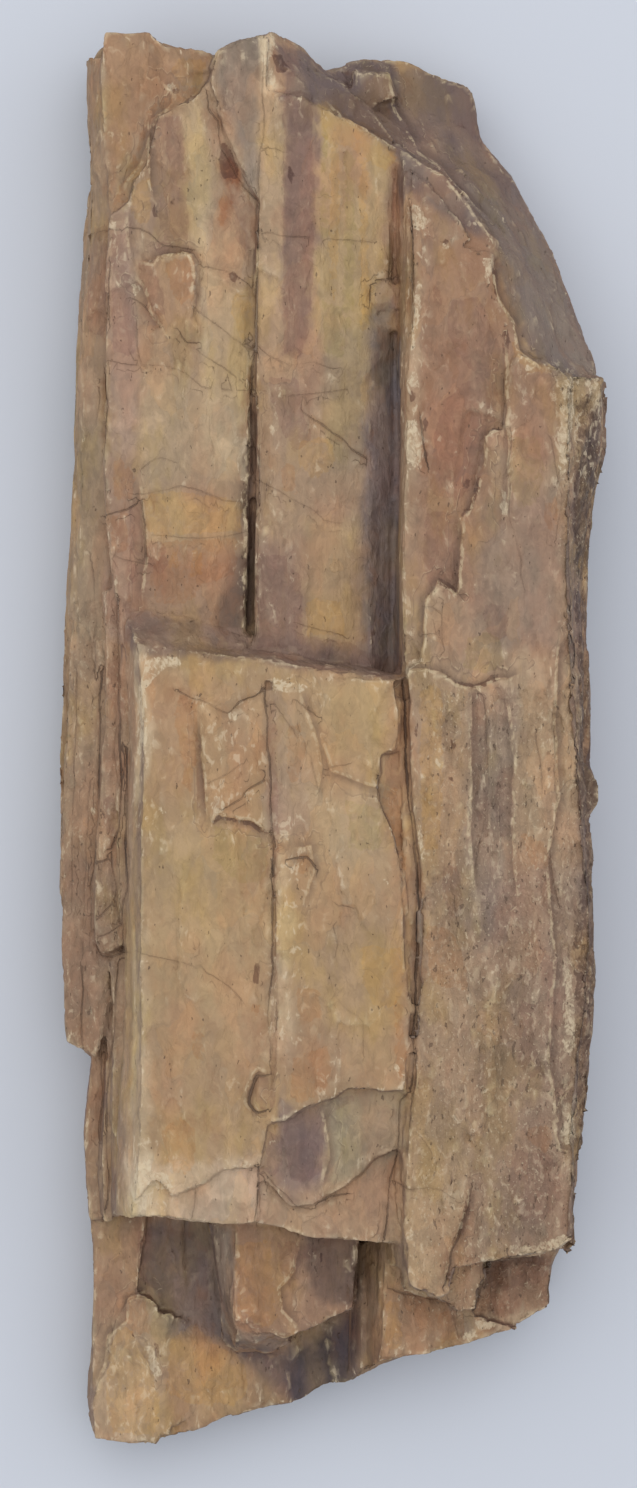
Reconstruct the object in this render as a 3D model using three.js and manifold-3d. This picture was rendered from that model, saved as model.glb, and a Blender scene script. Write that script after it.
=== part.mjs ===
// A split, stepped length of petrified limb, in millimetres.
// The grain runs along Y, the specimen lies on its flat cleavage face at z = 0, and +Z is up.
// Every panel, block and splinter is an upright prism with a level or sloping top. They are joined
// into one stone, trimmed along the underside, and then worn by a roughness that follows the grain.

import * as THREE from 'three';
import { mergeVertices } from 'three/addons/utils/BufferGeometryUtils.js';
import { ImprovedNoise } from 'three/addons/math/ImprovedNoise.js';
import Module from 'manifold-3d';

// Heights of the cleavage levels above the resting face
const baseLevel = 16;
const cornerLevel = 18.5;
const stripLevel = 24;
const channelLevel = 26.5;
const lowerBlockLevel = 28;
const plateLevel = 29.5;
const panelLevel = 33;
const coreLevel = 38;
const slabLevel = 42;
const blockLevel = 42.8;

// How deep the open crack and the crevice reach down
const crackFoot = 39;
const creviceFoot = 29.5;

// Surface character
const facetLength = 9;
const facetStretch = 2;
const flatFacetLength = 40;
const longestEdge = 300;
const shortestReach = 1;
const reachStep = 0.8;
const ridgeHeight = 0.7;
const flankHeight = 2.2;
const ridgeSpacing = 9;
const lumpHeight = 1.1;
const lumpSpacing = 38;
const grainStretch = 4;

// Cutters reach from well below the stone to well above it
const cutterFoot = -5;
const cutterTop = 60;
const cutterSize = 400;

// Outlines are [x, y] at one level, or [x, y, z] where the top slopes from point to point.

// The low plates, which carry everything, show at the lower left corner and ledge the flanks
const plates = {
  foot: {
    level: 6,
    outline: [
      [-45.5, 141], [-27.5, 139], [-14.5, 141], [-0.5, 134], [22.5, 131], [27.5, 119], [38.5, 102], [47, 87],
      [51, 73], [49, 46], [47, 8.5], [48.5, -32.5], [48, -63.5], [46, -94.5], [41, -112.5], [24.5, -118.5],
      [3.5, -125.5], [-17, -132.5], [-35.5, -138], [-46, -136], [-47, -105], [-46.5, -66], [-51, -57.5],
      [-50, -12], [-49, 50], [-47.5, 101.5],
    ],
  },
  base: {
    level: baseLevel,
    foot: 5,
    outline: [
      [-47, 143], [-25, 140.5], [-19, 142.5], [-12, 143.5], [-2.5, 138], [2.5, 138.5], [20, 136.5],
      [28.5, 133.5], [30, 124.5], [37, 113.5], [44.5, 96], [50, 84.5], [54, 75.5], [53, 62], [51, 49.5],
      [50, 25], [51, 0.5], [51.5, -20], [50.5, -49], [49, -88], [49, -102.5], [45.5, -107],
      [45, -115], [37.5, -120.5], [14, -127], [5, -130], [-6.5, -135], [-22, -139.5], [-36, -144],
      [-49, -143], [-50, -135], [-49, -65.5], [-51.5, -52], [-52.5, -20], [-51.5, 40], [-49, 90],
      [-49.5, 137],
    ],
  },
  leftLedge: {
    level: 11,
    foot: 3,
    outline: [
      [-52, -40], [-54, -30], [-54.5, 10], [-52.5, 62], [-50, 118], [-48, 130], [-40, 100], [-40, -30],
    ],
  },
  rightLedge: {
    level: 9,
    foot: 2,
    outline: [
      [40, -96], [50.5, -92], [52, -60], [52.5, -20], [51.5, 20], [52.5, 52], [53.5, 66], [40, 60],
    ],
  },
  corner: {
    level: cornerLevel,
    outline: [
      [-49.5, -97], [-37.5, -97], [-40, -114.5], [-34.5, -120.5], [-33.5, -132.5], [-35.5, -144],
      [-49, -143], [-50, -135],
    ],
  },
  cornerFlake: {
    level: cornerLevel + 1.3,
    outline: [
      [-49, -131.5], [-46.5, -128], [-45.5, -118], [-42, -113.5], [-37.5, -112.5], [-35.5, -115],
      [-35.5, -126], [-34, -132.5], [-36, -143.5], [-49, -143], [-50, -134.5],
    ],
  },
};

// Splinters down the left side, from the outer strip inwards
const splinters = {
  outer: {
    level: stripLevel,
    foot: 10.5,
    outline: [
      [-49.5, 139, 24], [-46.5, 138.5, 28], [-43, 100, 28], [-43, 65, 28], [-43, 28.5, 28],
      [-46, -32, 26], [-46, -52.5, 26], [-48, -64, 25], [-51.5, -63, 24], [-54.5, -62, 23],
      [-55.5, -32.5, 22], [-54, 29, 22], [-52.5, 55.5, 22], [-50.5, 100, 23], [-50, 126.5, 23],
    ],
  },
  inner: {
    level: plateLevel,
    outline: [
      [-46.5, 30.5], [-46, 8.5], [-48, -26], [-48.5, -41], [-46.5, -43.5], [-43, -42], [-43, 20.5],
      [-44.5, 30.5],
    ],
  },
  thin: {
    level: plateLevel + 2,
    outline: [[-43.5, 20.5], [-43, -42], [-41.5, -41], [-41.5, -5.5], [-40, 20.5]],
  },
  lowOuter: {
    level: stripLevel - 3,
    outline: [[-49, -61], [-47, -61], [-46.5, -98], [-49.5, -98]],
  },
  lowMiddle: {
    level: stripLevel + 0.5,
    outline: [[-46.5, -42], [-45, -42], [-44.5, -97.5], [-46.5, -97.5]],
  },
  lowInner: {
    level: stripLevel + 3.5,
    outline: [[-45, -42], [-42, -42], [-43, -96.5], [-45, -96.5]],
  },
};

// The two tall panels of the upper half, the plate beside them and the crevice between them
const panels = {
  topLeft: {
    level: plateLevel,
    outline: [
      [-46, 143.5], [-37, 144], [-33.5, 141.5], [-24, 139.5], [-22, 130], [-33, 122], [-37, 103.5],
      [-45.5, 99.5], [-46.5, 136],
    ],
  },
  left: {
    level: panelLevel,
    outline: [
      [-23.5, 139, 33], [-25, 133.5, 33], [-27, 130.5, 33], [-35, 126, 33], [-38, 116.5, 33],
      [-40.5, 113, 33], [-41.5, 108.5, 33], [-45.5, 106, 33], [-45.5, 83, 33], [-46, 57, 33],
      [-43.5, 19.5, 33], [-16.5, 15.5, 31.5], [-16.5, 69, 31.5], [-15.5, 108.5, 32], [-14, 143, 33],
      [-18.5, 142, 33], [-22.5, 140, 33],
    ],
  },
  ridge: {
    level: panelLevel + 1.2,
    outline: [
      [-23.5, 139], [-18.5, 141.5], [-14, 143], [-14, 108], [-16.5, 109.5], [-22, 123], [-25, 133],
    ],
  },
  flake: {
    level: panelLevel + 0.9,
    outline: [[-39, 96.5], [-36.5, 97.5], [-28.5, 98.5], [-27, 96], [-28.5, 85.5], [-34, 83], [-37, 88.5]],
  },
  centre: {
    level: panelLevel,
    outline: [
      [-15.5, 142, 35], [-12.5, 142.5, 35], [-13, 131, 35], [-6.5, 130.5, 35], [6.5, 123.5, 34],
      [13, 120, 33.5], [12, 111, 33], [12, 93, 32.5], [7, 91, 33], [7, 65, 33], [8.5, 12.5, 33],
      [-16, 16.5, 35], [-16, 75, 35],
    ],
  },
  upperChip: {
    level: panelLevel - 0.8,
    outline: [[6, 92.5], [13, 92.5], [13, 87.5], [8, 87.5]],
  },
  lowerChip: {
    level: panelLevel - 1.6,
    outline: [[7.5, 88], [13, 88], [13, 83.5], [9, 83]],
  },
  channel: {
    level: channelLevel,
    outline: [
      [6.2, 91, 33], [12.5, 91, 30], [15, 84, 28], [15, 10.5, 27], [7.5, 10.5, 33.2], [6.2, 38, 33.2],
      [6.2, 66, 33.2],
    ],
  },
  channelWall: {
    level: slabLevel,
    outline: [
      [11.5, 119, 32], [14, 118.5, 34.5], [15.5, 112.5, 38], [16.5, 106, 42], [15.5, 88, 42],
      [15.5, 79, 42], [14.5, 68, 42], [14, 32.5, 42], [14, 12.5, 42], [12.5, 12.5, 27], [12, 37, 27],
      [12.5, 69.5, 27], [12, 100, 29],
    ],
  },
};

// The long slab down the right side, in three lifts, with its bevelled outer edge
const slabs = {
  upper: {
    level: slabLevel,
    outline: [
      [15, 108, 41], [18.5, 102, 42], [24.5, 99, 41.5], [32, 98, 41.3], [32.5, 90, 41.2],
      [34.5, 84.5, 41], [37, 78.5, 41], [42.5, 75, 40.7], [48, 71.5, 40.3], [48, 36.5, 40.3],
      [48.5, 10.5, 40.3], [25.5, 8.5, 41.5], [14.5, 12.5, 42], [14, 32.5, 42], [14.5, 68, 42],
      [15.5, 79, 42], [15.5, 88, 42],
    ],
  },
  middle: {
    level: slabLevel + 0.5,
    outline: [
      [25.5, 28.5], [25, 44], [27.5, 46.5], [28.5, 53], [30, 60], [31.5, 62], [34.5, 62.5], [35, 74],
      [37, 77.5], [44.5, 74.5], [48, 71.5], [48, 36.5], [48.5, 10.5], [29.5, 9.5], [21.5, 11.5],
      [17.5, 16], [18, 27.5], [21, 32],
    ],
  },
  lower: {
    level: blockLevel,
    outline: [
      [14.5, 15, 43.5], [17, 16.5, 43.5], [21.5, 13.5, 43.2], [27, 10.5, 43], [31.5, 11.5, 42.8],
      [36.5, 12.5, 42.5], [48.5, 11.5, 41.5], [48.5, -1.5, 41.5], [50.5, -21.5, 41.5],
      [51.5, -35.5, 41.5], [51, -53.5, 41.5], [49, -64.5, 41.5], [48.5, -83.5, 41.5], [48, -99.5, 41.5],
      [44, -102, 41.5], [33.5, -103.5, 42], [25, -105, 42.3], [23.5, -110, 42.3], [20.5, -111.5, 42.3],
      [16, -109.3, 42.6], [14.4, -108.2, 42.6], [14, -105.5, 42.7], [14.2, -95.5, 42.8],
      [15, -87.5, 42.8], [15.4, -77.5, 43], [16.2, -70, 43], [16.3, -59.5, 43.3], [17.1, -50, 43.5],
      [17.1, -23, 43.5], [16.4, -17.8, 43.5], [15.2, -10.6, 43.5], [14.9, -2, 43.5], [14.9, 8.5, 43.5],
    ],
  },
  tab: {
    level: coreLevel + 0.5,
    outline: [
      [13.5, -98], [30.5, -104], [31, -107.5], [29, -110], [28.5, -113.5], [25, -114], [21.5, -112.5],
      [13.5, -110],
    ],
  },
  bevel: {
    level: slabLevel,
    foot: 14,
    outline: [
      [48, 73, 40.5], [54.5, 73.5, 36], [55, 69, 34], [55, 59, 32], [53.5, 50.5, 30], [52.5, 37, 29],
      [51.5, 20.5, 30], [52, 0.5, 33], [52, -22, 35], [52.5, -42, 37], [52.5, -52, 38], [51.5, -70, 38],
      [49.5, -85, 37], [49, -101, 36], [46.5, -103, 36], [45.5, -101, 41.5], [48, -83.5, 41.5],
      [47.5, -63.5, 41.5], [50.5, -53.5, 41.5], [51, -35.5, 41.5], [50, -21.5, 41.5], [47.5, 0.5, 41],
      [47.5, 36.5, 40.3],
    ],
  },
  brokenEdge: {
    level: slabLevel,
    outline: [
      [44.5, 73.5, 41.2], [54, 71.5, 37], [54.5, 68.5, 36.5], [53, 64.5, 36], [50.5, 60.5, 37.5],
      [47.5, 54.5, 41], [45.5, 55, 41.8], [44.5, 64, 42],
    ],
  },
  knob: {
    level: coreLevel - 1.5,
    foot: 22,
    outline: [[47.5, -4], [51.5, -4.5], [53.5, -8.5], [53.5, -12.5], [51.5, -15], [48, -14.5]],
  },
};

// The proud block in the middle: two tops side by side over a core, with steps at their lower ends
const blocks = {
  headFace: {
    level: coreLevel,
    outline: [
      [-42, 26, 33], [-37, 26.5, 33], [-30, 25, 33], [-16.5, 21, 33], [-10.5, 18, 34], [7.5, 14.5, 34],
      [14.5, 13.5, 36], [14, 12.5, 42], [-14, 12.5, 42], [-23.5, 15, 42], [-33.5, 16.5, 42],
      [-40, 20, 41],
    ],
  },
  core: {
    level: coreLevel,
    outline: [
      [-40.5, 20.5], [-33.5, 17], [-14, 13], [17, 13], [18.5, -5.5], [19.5, -27.5], [19.5, -52],
      [18.5, -70], [17, -84], [16, -99], [11.2, -100.6], [-6.5, -99.5], [-10, -97.5], [-36.5, -95.5],
      [-41, -95.5], [-40, -52], [-39.5, -11.5],
    ],
  },
  bevel: {
    level: coreLevel,
    outline: [
      [-42, 26, 33], [-41, -3.5, 34], [-41.5, -38, 34], [-42.5, -58, 33], [-43.5, -76.5, 32],
      [-44.5, -96, 31], [-40, -95.5, 38], [-39.5, -90.5, 41], [-38.5, -67.5, 41.7], [-38, 0.5, 41.7],
      [-39, 18.5, 41.5],
    ],
  },
  left: {
    level: slabLevel - 0.3,
    outline: [
      [-39.5, 20], [-33.5, 16.5], [-23.5, 15], [-14, 12.5], [-13.5, -3.5], [-12.5, -31.5],
      [-12.5, -71.5], [-14, -84.5], [-21.5, -85.5], [-26, -88.5], [-32.5, -90.5], [-35.5, -87.5],
      [-39.5, -92], [-38.5, -67.5], [-38, 0.5],
    ],
  },
  leftStep: {
    level: slabLevel - 2.2,
    outline: [
      [-40, -87.5], [-23.5, -83.5], [-14, -82.5], [-15, -97], [-23.5, -96.5], [-36.5, -95],
      [-40.5, -95],
    ],
  },
  joint: {
    level: slabLevel - 1.6,
    outline: [[-15.5, 12.5], [-6.5, 12.5], [-6.5, -75.5], [-14, -84.5], [-15.5, -71.5]],
  },
  flake: {
    level: slabLevel + 0.5,
    outline: [[-29.5, 10], [-21, 5.5], [-14, 10.5], [-13, -18], [-19.5, -15], [-24.5, -16.5], [-26, -7.5]],
  },
  right: {
    level: blockLevel,
    outline: [
      [-13, 12.5], [12.2, 12.5], [13.3, 3.5], [12.6, -1.8], [9.9, -2.4], [9.8, -12], [11.8, -15.8],
      [13.4, -19.4], [14.7, -28], [14.8, -38.7], [15.3, -48], [15.8, -51], [15.3, -61], [14.7, -70],
      [3.5, -69.5], [-1.5, -72], [-6, -73.5], [-9.5, -76], [-12.5, -76],
      [-11.5, -51.5], [-11.5, -31.5], [-12.5, -11.5],
    ],
  },
  rightMargin: {
    level: slabLevel - 0.7,
    outline: [
      [8.8, 12.5], [14.3, 12.5, 40.6], [14.6, -2, 40.6], [15.1, -11, 40.4], [16.6, -22, 40.4],
      [16.8, -41, 40.6], [16.5, -50, 40.8], [15.8, -60, 41], [15.3, -69, 41], [9, -31.5],
    ],
  },
  sideFill: {
    level: coreLevel,
    outline: [
      [13, -69.5, 38.5], [16.6, -69.5, 42], [15.8, -77.5, 42], [15.4, -87.5, 42], [14.7, -95.5, 42],
      [14.6, -106.5, 42], [10.7, -106, 28], [10.9, -98, 33], [12.3, -84, 37.5],
    ],
  },
  rightStep: {
    level: slabLevel - 1.8,
    outline: [
      [-14, -73.5], [2.5, -68.5], [14.5, -69], [13.5, -81.5], [8.5, -84], [3.5, -89], [-4, -93],
      [-8.5, -93], [-13.5, -87.5],
    ],
  },
};

// What steps down from under the middle block and the slab to the lower end
const lowerEnd = {
  block: {
    level: lowerBlockLevel,
    outline: [
      [-20.5, -96], [-20.5, -117], [-16.5, -117], [-13.5, -119.5], [-9.5, -121], [-4.5, -119],
      [2.5, -115.5], [5, -115], [5, -99],
    ],
  },
  blockBevel: {
    level: stripLevel,
    outline: [
      [-26.5, -98, 20], [-25, -106, 20], [-23, -114, 20], [-22, -122, 19], [-19, -124.5, 18.5],
      [-13, -125, 18.5], [-8.5, -122.5, 19], [-9.5, -120.5, 27.5], [-13.5, -119, 28],
      [-16.5, -117, 28], [-20, -117, 28], [-20, -97, 28],
    ],
  },
  corner: {
    level: channelLevel,
    outline: [
      [10, -99], [48, -99], [45.5, -103.5], [34, -105.5], [31.5, -109], [29.5, -117], [38, -119],
      [28, -122], [20, -124.5], [10, -126],
    ],
  },
  cornerShelf: {
    level: stripLevel,
    outline: [[29.5, -101.5], [48, -101.5], [45, -106], [44.5, -114.5], [37, -119], [29, -121]],
  },
  cornerWall: {
    level: stripLevel,
    outline: [[5, -102, 17], [10.5, -101, 27], [10.5, -126, 27], [5, -129.5, 17]],
  },
};

// The oblique fracture that slopes away at the upper right
const slopes = {
  head: {
    level: plateLevel,
    outline: [
      [-14.5, 141.5, 33], [-13.5, 130.5, 33.5], [-7, 129.5, 33], [2, 124.5, 33], [12.5, 118.5, 33],
      [14.5, 113, 34], [21.5, 106.5, 30], [37, 115, 17], [30.5, 124.5, 15.5], [29.5, 130.5, 15],
      [27.5, 134.5, 15.5], [15, 138.5, 18], [8.5, 140, 20], [3, 139.5, 22], [-0.5, 137, 24],
      [-6.5, 141.5, 26], [-12, 144, 30],
    ],
  },
  shoulder: {
    level: plateLevel,
    outline: [
      [12, 120.5, 32], [18, 117, 33.5], [23, 114, 34.5], [26.5, 110, 35.5], [30, 105, 36.5],
      [33, 99, 38], [31, 92, 40.6], [34.5, 84.5, 40.6], [37, 78.5, 40.5], [42.5, 75, 40.3],
      [46, 70, 40], [52.5, 70, 36], [53.5, 76.5, 31], [51, 83.5, 27], [48, 90.5, 24],
      [44.5, 100.5, 21], [37, 114.5, 17.5], [30, 118, 20], [22, 120.5, 25],
    ],
  },
  shoulderStep: {
    level: coreLevel,
    outline: [
      [13.5, 119.5, 33.5], [18, 117.5, 35], [23, 114.5, 36.5], [26.5, 110.5, 37.5], [30, 105.5, 38.5],
      [33.5, 100, 39.5], [32.5, 96.5, 40.3], [24, 97, 40.3], [18, 101, 40.3], [15.5, 106, 39.5],
      [14.5, 113, 36],
    ],
  },
  shoulderRidge: {
    level: coreLevel,
    outline: [
      [15.5, 115.5, 37.5], [19.5, 112, 39], [24.5, 106, 40.5], [28, 100.5, 41.6], [24, 98, 41.6],
      [19, 101.5, 41.6], [16.5, 108.5, 40],
    ],
  },
  headRib: {
    level: plateLevel,
    outline: [
      [-3, 136, 27.5], [2.5, 133.5, 28.5], [8, 129, 29.5], [13, 121.5, 32], [10, 120, 33],
      [2, 124.5, 33], [-3, 128.5, 32],
    ],
  },
  headLedge: {
    level: channelLevel + 1,
    outline: [[4, 137], [12, 136.5], [14, 131], [8, 129], [5, 131]],
  },
  shoulderFoot: {
    level: slabLevel - 1.2,
    outline: [[14.7, 109.5], [19.6, 105.8], [19.2, 100.7], [15.7, 103.2]],
  },
  shoulderLedge: {
    level: plateLevel + 0.5,
    outline: [[21, 115.5], [26, 116], [34, 107], [36.5, 101.5], [32.5, 99], [25, 102.5], [19.5, 107.5]],
  },
};

// The open crack that parts the slab from the middle block, and the crevice between the panels
const gaps = {
  crack: {
    level: cutterTop,
    foot: crackFoot,
    outline: [
      [14, 13.5], [14.8, 13.5], [15, -2], [15.5, -10.6], [16.5, -17.8], [17.2, -23], [17.2, -41.5],
      [17, -50.3], [16.3, -59.5], [15.8, -71], [14.9, -71], [15.5, -59.5], [16.1, -50.3], [16.3, -41.5],
      [16.3, -23], [15.6, -17.8], [14.6, -10.6], [14.1, -2],
    ],
  },
  crevice: {
    level: cutterTop,
    foot: creviceFoot,
    outline: [[-16.9, 78], [-15.9, 78], [-16.1, 20.5], [-18, 22.5], [-17.8, 40], [-17.3, 53]],
  },
};

// Shallow scars in the resting face, where flakes have come away
const underScars = {
  flake: {
    level: 1.6,
    foot: cutterFoot,
    outline: [[-60, 118], [-34, 112], [-27, 84], [-31, 48], [-38, 38], [-60, 34]],
  },
  chip: {
    level: 1.2,
    foot: cutterFoot,
    outline: [[60, -52], [36, -56], [27, -74], [30, -104], [60, -112]],
  },
};

// Scars on the flanks, where slivers have split away along the grain
const flankScars = [
  { middle: [-51, 70, 15], length: 92, height: 8, depth: 2.6, tilt: 0.02, roll: 0.5 },
  { middle: [-54, -2, 17], length: 80, height: 7, depth: 2.3, tilt: -0.03, roll: -0.4 },
  { middle: [-50, -96, 12], length: 74, height: 7, depth: 2.4, tilt: 0.03, roll: 0.4 },
  { middle: [-50, 112, 21], length: 48, height: 6, depth: 1.8, tilt: -0.05, roll: -0.5 },
  { middle: [-54.5, -36, 14], length: 44, height: 5, depth: 1.7, tilt: 0.05, roll: 0.3 },
  { middle: [52, 32, 21], length: 96, height: 9, depth: 2.8, tilt: -0.02, roll: -0.5 },
  { middle: [51.5, -60, 27], length: 84, height: 8, depth: 2.6, tilt: 0.03, roll: 0.5 },
  { middle: [51, -6, 33], length: 62, height: 7, depth: 2.3, tilt: -0.04, roll: -0.4 },
  { middle: [49.5, -80, 14], length: 66, height: 7, depth: 2.4, tilt: 0.02, roll: 0.4 },
  { middle: [53.5, 60, 27], length: 42, height: 7, depth: 2.2, tilt: 0.06, roll: -0.3 },
  { middle: [48.8, -88, 34], length: 38, height: 6, depth: 1.8, tilt: -0.05, roll: 0.4 },
];

// Planes that break away the lower edges: a point on each plane and the way it faces
const underTrims = [
  { point: [-52, 0, 6], facing: [-1, 0.04, -1.3] },
  { point: [52, 20, 7], facing: [1, 0.03, -1.1] },
  { point: [50, -80, 5], facing: [1, -0.12, -1.4] },
  { point: [36, 120, 6.5], facing: [1, 0.6, -1.2] },
  { point: [-20, 141, 5], facing: [0.1, 1, -1] },
  { point: [10, -127, 5], facing: [0.3, -1, -1.1] },
  { point: [-44, -141, 6], facing: [-0.5, -1, -1.5] },
];

const wasm = await Module();
wasm.setup();

const noise = new ImprovedNoise();

// A closed three.js geometry as a solid that can be joined and cut
function solidFrom(geometry) {
  const bare = geometry.clone();
  bare.deleteAttribute('normal');
  bare.deleteAttribute('uv');
  const merged = mergeVertices(bare, 1e-4);
  const vertProperties = new Float32Array(merged.attributes.position.array);
  const triVerts = new Uint32Array(merged.index.array);
  return new wasm.Manifold(new wasm.Mesh({ numProp: 3, vertProperties, triVerts }));
}

// An upright prism from the foot level up to a top that is level, or slopes between its points
function prism(outline, level, foot = 0) {
  const shape = new THREE.Shape(outline.map(([x, y]) => new THREE.Vector2(x, y)));
  const geometry = new THREE.ExtrudeGeometry(shape, { depth: 1, bevelEnabled: false });
  const tops = outline.map(([x, y, z = level]) => new THREE.Vector3(x, y, z));
  const position = geometry.attributes.position;
  for (let i = 0; i < position.count; i += 1) {
    const x = position.getX(i);
    const y = position.getY(i);
    const nearest = tops.find((top) => Math.hypot(top.x - x, top.y - y) < 0.01);
    position.setZ(i, position.getZ(i) > 0.5 ? nearest.z : foot);
  }
  return solidFrom(geometry);
}

// A long eight-sided sliver lying with the grain, as deep as the scar that it leaves
function sliver({ middle, length, height, depth, tilt, roll }) {
  const geometry = new THREE.OctahedronGeometry(1);
  geometry.scale(depth, length / 2, height / 2);
  geometry.rotateY(roll);
  geometry.rotateX(tilt);
  geometry.translate(...middle);
  return solidFrom(geometry);
}

// All the stone on the outer side of a plane
function outside({ point, facing }) {
  const normal = new THREE.Vector3(...facing).normalize();
  const geometry = new THREE.BoxGeometry(cutterSize, cutterSize, cutterSize);
  geometry.translate(0, 0, cutterSize / 2);
  geometry.applyQuaternion(new THREE.Quaternion().setFromUnitVectors(new THREE.Vector3(0, 0, 1), normal));
  geometry.translate(...point);
  return solidFrom(geometry);
}

// The prisms of several groups, each as a solid of its own
function prisms(...groups) {
  const parts = groups.flatMap((group) => Object.values(group));
  return parts.map(({ outline, level, foot }) => prism(outline, level, foot));
}

// The specimen with clean faces, before it is worn
function cleanStone() {
  const added = prisms(plates, splinters, panels, slabs, blocks, lowerEnd, slopes);
  const removed = [...prisms(gaps, underScars), ...flankScars.map(sliver), ...underTrims.map(outside)];
  const joined = added.reduce((stone, block) => stone.add(block));
  return removed.reduce((stone, cutter) => stone.subtract(cutter), joined);
}

// How long an edge may be: short on every surface that shows, long across the resting face
function edgeLimit(a, b) {
  return a.z < 0.01 && b.z < 0.01 ? flatFacetLength : facetLength;
}

// The length of an edge, counted short where it runs with the grain
function acrossGrain(a, b) {
  return Math.hypot(a.x - b.x, (a.y - b.y) / facetStretch, a.z - b.z);
}

// Splits long edges at their middles, the longest first, so that the facets come out near one size
function splitLongEdges(points, triangles) {
  let faces = triangles;
  for (let reach = longestEdge; reach > shortestReach; reach *= reachStep) {
    const middles = new Map();
    const middleOf = (i, j) => {
      const key = i < j ? `${i},${j}` : `${j},${i}`;
      if (!middles.has(key)) {
        const [a, b] = [points[i], points[j]];
        const long = acrossGrain(a, b) > Math.max(reach, edgeLimit(a, b));
        middles.set(key, long ? points.push(a.clone().lerp(b, 0.5)) - 1 : -1);
      }
      return middles.get(key);
    };
    faces = faces.flatMap((face) => splitFace(face, face.map((v, k) => middleOf(v, face[(k + 1) % 3]))));
  }
  return faces;
}

// One triangle, given the new vertex on each of its edges or -1 where the edge stays whole
function splitFace([a, b, c], [ab, bc, ca]) {
  const count = [ab, bc, ca].filter((m) => m >= 0).length;
  if (count === 0) return [[a, b, c]];
  if (count === 3) return [[a, ab, ca], [ab, b, bc], [ca, bc, c], [ab, bc, ca]];
  if (count === 1) {
    if (ab >= 0) return [[a, ab, c], [ab, b, c]];
    if (bc >= 0) return [[a, b, bc], [a, bc, c]];
    return [[a, b, ca], [b, c, ca]];
  }
  if (ca < 0) return [[ab, b, bc], [a, ab, c], [ab, bc, c]];
  if (ab < 0) return [[ca, bc, c], [a, b, bc], [a, bc, ca]];
  return [[a, ab, ca], [ab, b, ca], [b, c, ca]];
}

// The wear at a point: ridges along the grain and broad lumps, with the resting face kept flat
function wear(p) {
  const ridge = (seed) => {
    const along = p.y / grainStretch;
    return noise.noise(p.x / ridgeSpacing, along / ridgeSpacing, p.z / ridgeSpacing + seed);
  };
  const knob = (seed) => noise.noise(p.x / ridgeSpacing, p.y / ridgeSpacing, p.z / ridgeSpacing + seed);
  const lump = (seed) => noise.noise(p.x / lumpSpacing, p.y / lumpSpacing, p.z / lumpSpacing + seed);
  const free = THREE.MathUtils.smoothstep(p.z, 0, 5);
  const flank = THREE.MathUtils.lerp(flankHeight, ridgeHeight, THREE.MathUtils.smoothstep(p.z, 14, 32));
  return new THREE.Vector3(
    flank * ridge(3.7) + lumpHeight * lump(11.3),
    flank * knob(23.1),
    ridgeHeight * ridge(41.9) + lumpHeight * lump(57.5),
  ).multiplyScalar(free);
}

function wornStone() {
  const mesh = cleanStone().getMesh();
  const points = [];
  for (let i = 0; i < mesh.vertProperties.length; i += mesh.numProp) {
    points.push(new THREE.Vector3(...mesh.vertProperties.slice(i, i + 3)));
  }
  const triangles = [];
  for (let i = 0; i < mesh.triVerts.length; i += 3) {
    triangles.push([...mesh.triVerts.slice(i, i + 3)]);
  }
  const faces = splitLongEdges(points, triangles);
  const geometry = new THREE.BufferGeometry();
  geometry.setFromPoints(points.map((p) => p.clone().add(wear(p))));
  geometry.setIndex(faces.flat());
  geometry.computeVertexNormals();
  return geometry;
}

const stoneFinish = new THREE.MeshStandardMaterial({ color: 0xa9865c, roughness: 0.82, metalness: 0 });
const stone = new THREE.Mesh(wornStone(), stoneFinish);
stone.name = 'petrified_wood';

const specimen = new THREE.Group();
specimen.add(stone);

export default specimen;
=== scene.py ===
import math

import bmesh
import bpy
import numpy as np
from mathutils import Matrix, Vector
from mathutils.bvhtree import BVHTree


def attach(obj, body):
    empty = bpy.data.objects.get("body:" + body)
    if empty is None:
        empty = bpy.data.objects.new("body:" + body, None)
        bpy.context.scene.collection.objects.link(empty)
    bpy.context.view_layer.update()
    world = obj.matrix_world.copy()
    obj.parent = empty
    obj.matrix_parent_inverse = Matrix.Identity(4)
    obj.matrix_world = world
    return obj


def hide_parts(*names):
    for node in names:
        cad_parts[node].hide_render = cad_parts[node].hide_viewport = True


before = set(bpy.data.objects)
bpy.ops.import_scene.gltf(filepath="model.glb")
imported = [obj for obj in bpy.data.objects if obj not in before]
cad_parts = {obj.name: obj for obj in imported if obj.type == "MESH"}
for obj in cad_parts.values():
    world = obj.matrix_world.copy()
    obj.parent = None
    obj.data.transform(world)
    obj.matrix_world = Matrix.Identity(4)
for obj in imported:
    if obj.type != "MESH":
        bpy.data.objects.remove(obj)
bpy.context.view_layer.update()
print("stage: frame loaded")


view = {
    "imageHeight": 1488,
    "metresPerPixel": 0.0002,   # at the height of the upper surfaces
    "focusHeight": 0.040,
    "distance": 0.900,          # from that height up to the camera
    "acrossOffset": -0.00285,
    "alongOffset": -0.00045,
    "sensorWidth": 36,
    "nearClip": 0.01,
}

studio = {
    "floorSize": 3.0,
    "floorColour": "d0d4db",
    "floorRoughness": 0.9,
    "floorGloss": 0.2,
    "skyColour": "e9edf4",
    "skyStrength": 0.79,
    "keyPlace": (-0.27, 0.32, 1.05),
    "keySize": 1.4,
    "keyPower": 4.0,
    "keyColour": "fffaf2",
    "fillPlace": (0.45, 0.22, 1.0),
    "fillSize": 1.2,
    "fillPower": 2.9,
    "fillColour": "f4f6ff",
}


def linear(hexText):
    def channel(value):
        return value / 12.92 if value <= 0.04045 else ((value + 0.055) / 1.055) ** 2.4
    parts = [int(hexText[i:i + 2], 16) / 255 for i in (0, 2, 4)]
    return tuple(channel(v) for v in parts) + (1.0,)


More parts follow.
